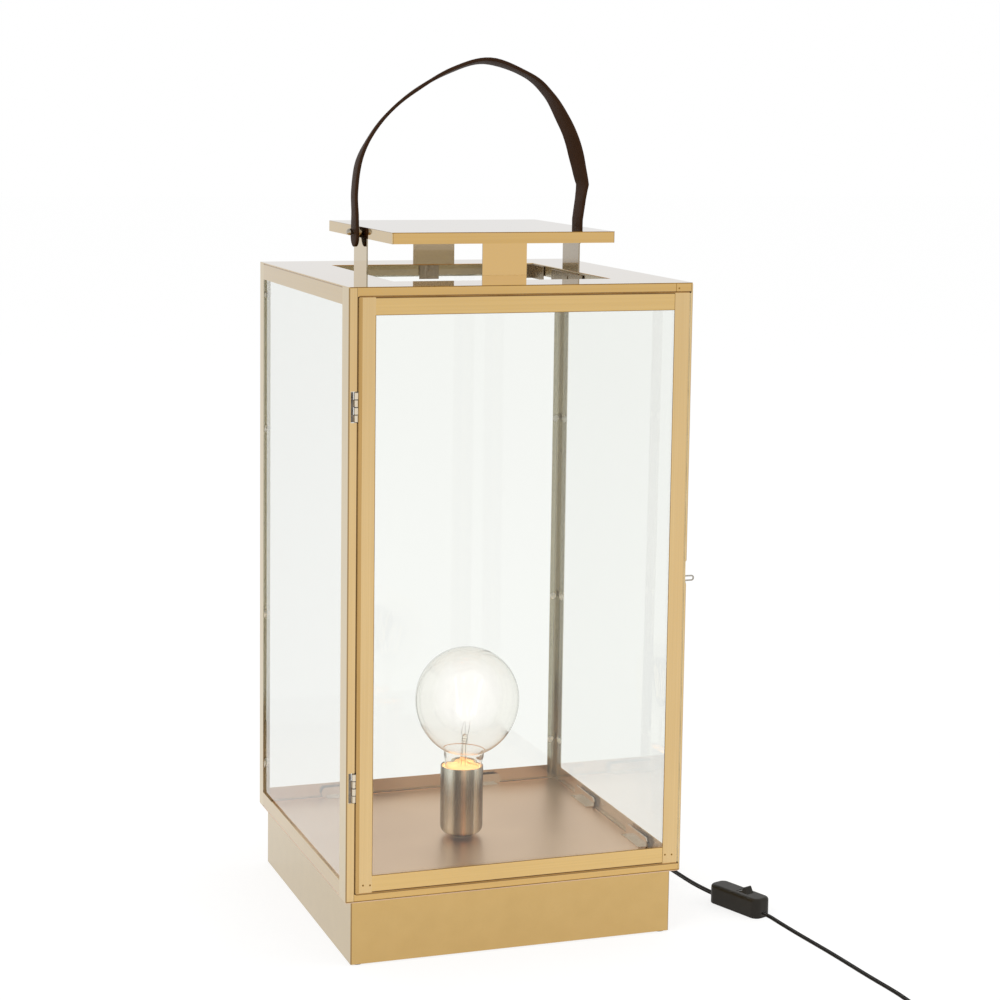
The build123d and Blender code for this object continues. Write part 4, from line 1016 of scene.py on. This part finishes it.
# the flared foot, the thin neck, and the bead that holds the support wire
stem_radii = (
    (0.0, 0.2),
    (7.6, 0.2),
    (6.2, 3.0),
    (4.2, 8.0),
    (3.2, 13.0),
    (2.6, 20.0),
    (2.3, 28.0),
    (2.6, 31.0),
    (2.4, 34.0),
    (1.4, 36.4),
    (0.0, 37.0),
)
stem_profile = [(radius, cap_high + above) for radius, above in stem_radii]
turned_piece("bulb_glass_stem", stem_profile, 48, askew, stem_glass, "bulb_glass", "bulb_stem")


def new_curve(name, kind, points_mm):
    """A curve in space with one spline on the given points."""
    curve = bpy.data.curves.new(name, "CURVE")
    curve.dimensions = "3D"
    spline = curve.splines.new(kind)
    spline.points.add(len(points_mm) - 1)
    for point, place_mm in zip(spline.points, points_mm):
        point.co = (*(Vector(place_mm) * mm), 1.0)
    return curve, spline


def curve_mesh(curve):
    """The mesh that Blender gives a curve, which is then let go."""
    holder = bpy.data.objects.new(curve.name, curve)
    mesh = bpy.data.meshes.new_from_object(holder)
    bpy.data.objects.remove(holder)
    bpy.data.curves.remove(curve)
    return mesh


def wire_piece(name, line_mm, wire_mm, material, *stands_for):
    """A round wire of the bulb along smooth points."""
    curve, spline = new_curve(name, "POLY", line_mm)
    curve.bevel_depth = wire_mm / 2 * mm
    curve.bevel_resolution = 3
    curve.use_fill_caps = True
    mesh = curve_mesh(curve)
    mesh.name = name
    mesh.transform(askew)
    mesh.shade_smooth()
    link_piece(name, mesh, material, "lantern", "filament", *stands_for)


hooks = 15
lower_ring = (8.0, 172.0)
upper_ring = (13.0, 203.0)
cage = []
for hook in range(hooks):
    bearing = -pi / 2 - tau * (hook + 0.5) / hooks
    ring, height = upper_ring if hook % 2 else lower_ring
    cage.append(Vector((ring * cos(bearing), ring * sin(bearing), height)))
glow_wire, tree, shader = new_material("glow_wire")
tree.nodes.remove(shader)
hot = tree.nodes.new("ShaderNodeEmission")
hot_spots = noise(tree, 60.0, at=surface_place(tree)["Object"])
hot_tone = between(tree, hot_spots, (1.0, 0.80, 0.52, 1), (1.0, 0.93, 0.78, 1))
hot_level = math_node(tree, "MULTIPLY_ADD", direct_rays(tree), 8.0, 1.0)
set_inputs(tree, hot, {"Color": hot_tone, "Strength": hot_level})
tree.links.new(hot.outputs[0], tree.nodes["Material Output"].inputs["Surface"])
wire_piece("bulb_filament", smooth_through(cage, 10), 0.8, glow_wire, "filament")
leads = (
    ("bulb_lead_left", (-2.0, 0, 119.0), (-1.5, 0, 132.0), (-1.3, 0, 144.0), (-3.4, -0.5, 157.0), cage[0]),
    ("bulb_lead_right", (2.0, 0, 119.0), (1.5, 0, 132.0), (1.3, 0, 144.0), (3.4, -0.5, 157.0), cage[-1]),
    ("bulb_support_wire", (0, 0, 152.0), (0, 0, 170.0), (0, 0, 200.0), (0, 0, 204.0)),
)
for name, *line in leads:
    wire_piece(name, smooth_through([Vector(point) for point in line], 6), 0.5, pin_steel)

# a few turns of wire bind the leads where the stem is pinched
binding_radius = 3.0
binding_foot = 143.0
binding_pitch = 2.1
binding = []
for step in range(40):
    angle = tau * step / 12
    x, y = binding_radius * cos(angle), binding_radius * sin(angle)
    binding.append(Vector((x, y, binding_foot + binding_pitch * step / 12)))
wire_piece("bulb_stem_binding", binding, 0.35, pin_steel)


# the light that is seen round the wire: a small bright core in a wide soft glow
def glow(name, colour, strength, sharpness, share):
    """Light that hangs in the air, strongest in the middle of its shape and gone at its outline."""
    material, tree, shader = new_material(name)
    tree.nodes.remove(shader)
    light = tree.nodes.new("ShaderNodeEmission")
    set_inputs(tree, light, {"Color": colour, "Strength": strength})
    nothing = tree.nodes.new("ShaderNodeBsdfTransparent")
    edge = tree.nodes.new("ShaderNodeLayerWeight")
    edge.inputs["Blend"].default_value = 0.5
    middle = math_node(tree, "SUBTRACT", 1.0, edge.outputs["Facing"])
    middle = math_node(tree, "POWER", middle, sharpness)
    seen = math_node(tree, "MULTIPLY", direct_rays(tree), share)
    middle = math_node(tree, "MULTIPLY", middle, seen)
    mix_surface(tree, middle, nothing, light)
    return material


halo_profile = [
    (0.0, 164.0),
    (4.0, 165.0),
    (8.0, 169.0),
    (11.5, 176.0),
    (14.0, 184.0),
    (16.6, 191.0),
    (17.4, 197.0),
    (15.8, 203.5),
    (11.0, 208.6),
    (5.0, 211.0),
    (0.0, 211.6),
]
glow_middle = 189.0
glow_radius = 34.0
glow_reach = 36.0
wide_profile = []
for step in range(25):
    angle = pi * step / 24
    wide_profile.append((glow_radius * sin(angle), glow_middle - glow_reach * cos(angle)))
glows = (
    ("bulb_halo", halo_profile, glow("filament_halo", (1.0, 0.985, 0.95, 1), 1.15, 0.7, 1.0)),
    ("bulb_wide_halo", wide_profile, glow("filament_glow", (1.0, 0.985, 0.97, 1), 1.06, 2.4, 0.95)),
)
for name, profile, material in glows:
    turned_piece(name, smooth_profile(profile, 4), 64, askew, material, "filament")

# the neck's cement and the holder's insulating ring, in amber with a painted glow of the bulb's light from
# above
amber_painted_glow, tree, shader = new_material("amber_painted_glow")
amber_tone = between(tree, noise(tree, 150.0), srgb(200, 150, 98), srgb(246, 214, 170))
set_inputs(tree, shader, {"Base Color": amber_tone, "Roughness": 0.5})
set_inputs(tree, shader, {"Emission Color": amber_tone, "Emission Strength": 0.28})
cement_profile = [(0.0, 122.6), (15.4, 122.6), (15.4, 121.8), (0.0, 121.8)]
turned_piece("neck_cement", cement_profile, 64, askew, amber_painted_glow, "bulb_glass")
ring_profile = [(15.2, 123.0), (18.45, 123.0), (18.45, 122.0), (15.2, 122.0), (15.2, 123.0)]
turned_piece("holder_insulating_ring", ring_profile, 96, None, amber_painted_glow, "nickel")
amber_glow = glow("amber_glow", srgb(214, 140, 62), 0.9, 0.5, 0.8)
shoulder_ring = [(19.6, 138.2)] + arc((19.2, 138.2), 0.4, 0, tau, 12)
turned_piece("shoulder_glow", shoulder_ring, 96, askew, amber_glow, "bulb_glass")

bulb_light = bpy.data.lights.new("bulb_light", "POINT")
bulb_light.energy = 0.6
bulb_light.color = (1.0, 0.66, 0.36)
bulb_light.shadow_soft_size = 0.012
bulb_lamp = new_object("bulb_light", bulb_light)
filament_middle = Vector((0, 0, 0.188))
bulb_lamp.location = askew @ filament_middle
bulb_lamp.visible_glossy = False
bulb_lamp.visible_transmission = False

# ---- Cord, strain relief, switch and plug ------------------------------------------------------
# A flat twin cord in black, 4.2 by 2.7 mm, leaves the plinth's back wall through a ribbed sleeve.
# It lies round the lamp to a hand switch, runs on, and what is left of it is coiled up to its plug.

cord_width = 4.2
cord_thick = 2.7
cord_groove = 0.35
switch_entry = (220.98, -80.81, 5.0)
switch_exit = (242.02, -140.19, 5.0)
coil_centre = Vector((231.4, -408.0, 0))
coil_middle = 23.5
coil_turns = 6 + 1 / 3
beside_coil = 35.3
tail_length = 26.0
# on edge as far as the switch, and flat on the floor from there on
route = [
    (70, 174.5, 12),
    (71.5, 204, 8.5),
    (82, 237, 3.4),
    (108, 263, 2.4),
    (146, 268, 2.4),
    (179, 248, 2.4),
    (196, 213, 2.4),
    (203, 173, 2.4),
    (205.5, 131, 2.4),
    (209.5, 90, 2.4),
    (210.5, 49, 2.4),
    (213.8, 8.6, 2.4),
    (216.4, -33.4, 2.5),
    (218.4, -58, 3.6),
    switch_entry,
    switch_exit,
    (246.8, -166, 2.9),
    (251.5, -196, 1.7),
    (257.3, -245.5, 1.7),
    (261.6, -301, 1.7),
    (266.3, -342, 1.7),
    (266.7, -364, 1.7),
    (266.7, -390, 1.9),
    (266.7, -408, 2.1),
]
low_turn = 2.1
high_turn = 4.9
wide_turn = 30.4
wide_turn_above = 26.6
tight_turn = 17.2
steps_per_turn = 16
coil_steps = round(coil_turns * steps_per_turn)
for step in range(1, coil_steps):
    share = step / coil_steps
    inward = 1 - abs(2 * share - 1)
    widest = wide_turn if share < 0.5 else wide_turn_above
    turned = step / steps_per_turn
    left = (coil_steps - step) / steps_per_turn
    near_ends = max(0.0, 1 - turned * 4) + max(0.0, 1 - left * 4) ** 3
    radius = widest - (widest - tight_turn) * inward + (beside_coil - widest) * near_ends
    height = low_turn if share < 0.5 else high_turn
    bearing = -tau * step / steps_per_turn
    x = coil_centre.x + radius * cos(bearing)
    y = coil_centre.y + radius * sin(bearing)
    route.append((x, y, height))
plug_heading = radians(150.0)
plug_forward = Vector((cos(plug_heading), sin(plug_heading), 0))
plug_side = Vector((-sin(plug_heading), cos(plug_heading), 0))
tail_start = coil_centre + plug_side * beside_coil
route.append((tail_start.x, tail_start.y, high_turn))
tail_end = tail_start + plug_forward * tail_length
middle_of_tail = tail_start.lerp(tail_end, 0.5)
route.append((middle_of_tail.x, middle_of_tail.y, 6.0))
route.append((tail_end.x, tail_end.y, 6.85))


def spline_points(name, points_mm, resolution):
    """The smooth line that a route's control points give, as points in metres."""
    curve, spline = new_curve(name, "NURBS", points_mm)
    curve.resolution_u = resolution
    spline.order_u = 3
    spline.use_endpoint_u = True
    mesh = curve_mesh(curve)
    line = [vertex.co.copy() for vertex in mesh.vertices]
    bpy.data.meshes.remove(mesh)
    return line


def flat_cord(name, line, flatness):
    """Twin flex swept along a line, turned from on edge (0) to flat (1) by each point's flatness."""
    section = []
    end_radius = cord_thick / 2
    for side in (1, -1):
        for step in range(7):
            angle = side * (-pi / 2 + pi * step / 6)
            across = side * (cord_width / 2 - end_radius) + end_radius * side * cos(angle)
            section.append((across, end_radius * sin(angle) * side))
        section.append((0.0, side * (end_radius - cord_groove)))
    shape = bmesh.new()
    along = shape.loops.layers.float_vector.new("along")
    rings = []
    for centre, direction, flat in zip(line, headings(line), flatness):
        sideways = direction.cross(Vector((0, 0, 1))).normalized()
        upright = sideways.cross(direction)
        roll = pi / 2 * (1 - flat)
        wide = sideways * cos(roll) + upright * sin(roll)
        thin = upright * cos(roll) - sideways * sin(roll)
        rings.append([shape.verts.new(centre + (wide * x + thin * y) * mm) for x, y in section])
    runs = run_lengths(line)
    count = len(section)
    for index, face in enumerate(join_rings(shape, rings)):
        place, side = divmod(index, count)
        corner_runs = (runs[place], runs[place], runs[place + 1], runs[place + 1])
        for loop, run, share in zip(face.loops, corner_runs, (side, side + 1, side + 1, side)):
            loop[along] = (run, share / count, 0)
    shape.faces.new(rings[0][::-1])
    shape.faces.new(rings[-1])
    return mesh_from(shape, name)


# ribs wind round the sheath at a slant, twice across its width for each one along it
rib_pitch = 0.0022
cord_plastic, tree, shader = new_material("cord_plastic")
ribs_at = tree.nodes.new("ShaderNodeAttribute")
ribs_at.attribute_name = "along"
ribs_split = split_xyz(tree, ribs_at.outputs["Vector"])
ribs = math_node(tree, "MULTIPLY", ribs_split["X"], tau / rib_pitch)
ribs = math_node(tree, "MULTIPLY_ADD", ribs_split["Y"], tau * 2, ribs)
ribs = math_node(tree, "MULTIPLY_ADD", math_node(tree, "SINE", ribs), 0.5, 0.5)
rib_tone = between(tree, ribs, srgb(12, 9, 6), srgb(28, 23, 16))
add_relief(tree, shader, ribs, 0.5, 0.0003)
sheath = {"Base Color": rib_tone, "Roughness": 0.42, "Specular IOR Level": 0.15}
set_inputs(tree, shader, sheath)

cord_line = spline_points("cord_line", route, 8)
past_switch = Vector(switch_entry).lerp(Vector(switch_exit), 0.5) * mm
nearest = min(range(len(cord_line)), key=lambda place: (cord_line[place] - past_switch).length)
turned_flat = [min(1.0, max(0.0, (place - nearest) / 6 + 0.5)) for place in range(len(cord_line))]
mains_cord = link_piece(
    "mains_cord",
    flat_cord("mains_cord", cord_line, turned_flat),
    cord_plastic,
    "lantern",
    "cord_plastic",
    "cord_to_switch",
    "cord_from_switch",
    "cord_coil",
    "cord_tail",
)

inside_route = [
    (70, 142.5, 12),
    (68, 109, 13),
    (52, 73, 13.5),
    (28, 40, 15),
    (6, 15, 24),
    (0, 0, 38),
    (0, 0, 50),
]
inside_line = spline_points("inside_line", inside_route, 10)
inside_cord = link_piece(
    "cord_in_plinth",
    flat_cord("cord_in_plinth", inside_line, [1.0] * len(inside_line)),
    cord_plastic,
    "lantern",
    "cord_plastic",
    "cord_inside",
)

# the sleeve clips into the wall between two flanges and tapers out along the cord in rings
relief_profile = [(2.3, 143.2), (5.5, 143.2), (5.5, 144.9), (4.0, 144.9), (4.0, 146.1), (5.5, 146.1)]
relief_profile += [(5.5, 147.6), (5.1, 148.0)]
ring_places = 9
first_ring = 148.2
ring_pitch = 2.8
widest_ring = 4.3
taper = 1.3
for ring_place in range(ring_places):
    low = first_ring + ring_pitch * ring_place
    base_radius = widest_ring - taper * ring_place / (ring_places - 1)
    for inset, rise in ((0.5, 0.0), (0.5, 0.7), (0.0, 1.0), (0.05, 2.5)):
        relief_profile.append((base_radius - inset, low + rise))
relief_profile += [(2.7, 173.4), (2.6, 174.0), (2.3, 174.0), (2.3, 143.2)]
moulded, tree, shader = new_material("moulded_plastic")
spark = noise(tree, 1400.0, at=surface_place(tree)["Object"])
moulded_tone = between(tree, spark, srgb(28, 24, 18), srgb(44, 39, 30))
add_relief(tree, shader, spark, 0.15, 0.0001)
dullness = math_node(tree, "MULTIPLY_ADD", spark, 0.2, 0.32)
moulding = {"Base Color": moulded_tone, "Roughness": dullness, "Specular IOR Level": 0.3}
set_inputs(tree, shader, moulding)
out_of_wall = Matrix.Translation(Vector((70, 0, 12)) * mm) @ Matrix.Rotation(-pi / 2, 4, "X")
cord_sleeve = turned_piece(
    "cord_sleeve", relief_profile, 40, out_of_wall, moulded, "rubber", "strain_relief"
)
dress(moulded, "switch_base", "switch_cover", "switch_rocker", "plug_body")
dress(pin_steel, "plug_pins")

# a soft strip ties the coil's turns together on the side away from the plug
tie_angle = radians(60)
tie_way = Vector((cos(tie_angle), sin(tie_angle), 0))
tie_centre = coil_centre + tie_way * coil_middle + Vector((0, 0, (low_turn + high_turn) / 2))
tie_half_width = 9.9
tie_section = ((0, -1.5), (0.4, -1.5), (0.4, 1.5), (0, 1.5))
tie_steps = 48
tie_half_height = (high_turn - low_turn + cord_thick) / 2 + 0.25
tie_shape = bmesh.new()
tie_rings = []
for step in range(tie_steps):
    angle = tau * step / tie_steps
    flatten = (abs(cos(angle)) ** 5 + abs(sin(angle)) ** 5) ** (-1 / 5)
    ring = []
    for proud, along_cord in tie_section:
        out = tie_way * (tie_half_width + proud) * cos(angle) * flatten
        rise = Vector((0, 0, (tie_half_height + proud) * sin(angle) * flatten))
        across = Vector((-tie_way.y, tie_way.x, 0)) * along_cord
        ring.append(tie_shape.verts.new((tie_centre + out + rise + across) * mm))
    tie_rings.append(ring)
join_rings(tie_shape, tie_rings + tie_rings[:1])
coil_tie = link_piece("coil_tie", mesh_from(tie_shape, "coil_tie"), moulded, "lantern", "rubber")
# the put-away coil stays out of the polished front's mirror
for piece in (mains_cord, coil_tie):
    piece.visible_glossy = False
    piece.visible_diffuse = False
    piece.visible_shadow = False
for name in ("switch_base", "switch_cover", "switch_rocker", "plug_body", "plug_pins"):
    nodes[name].visible_glossy = False
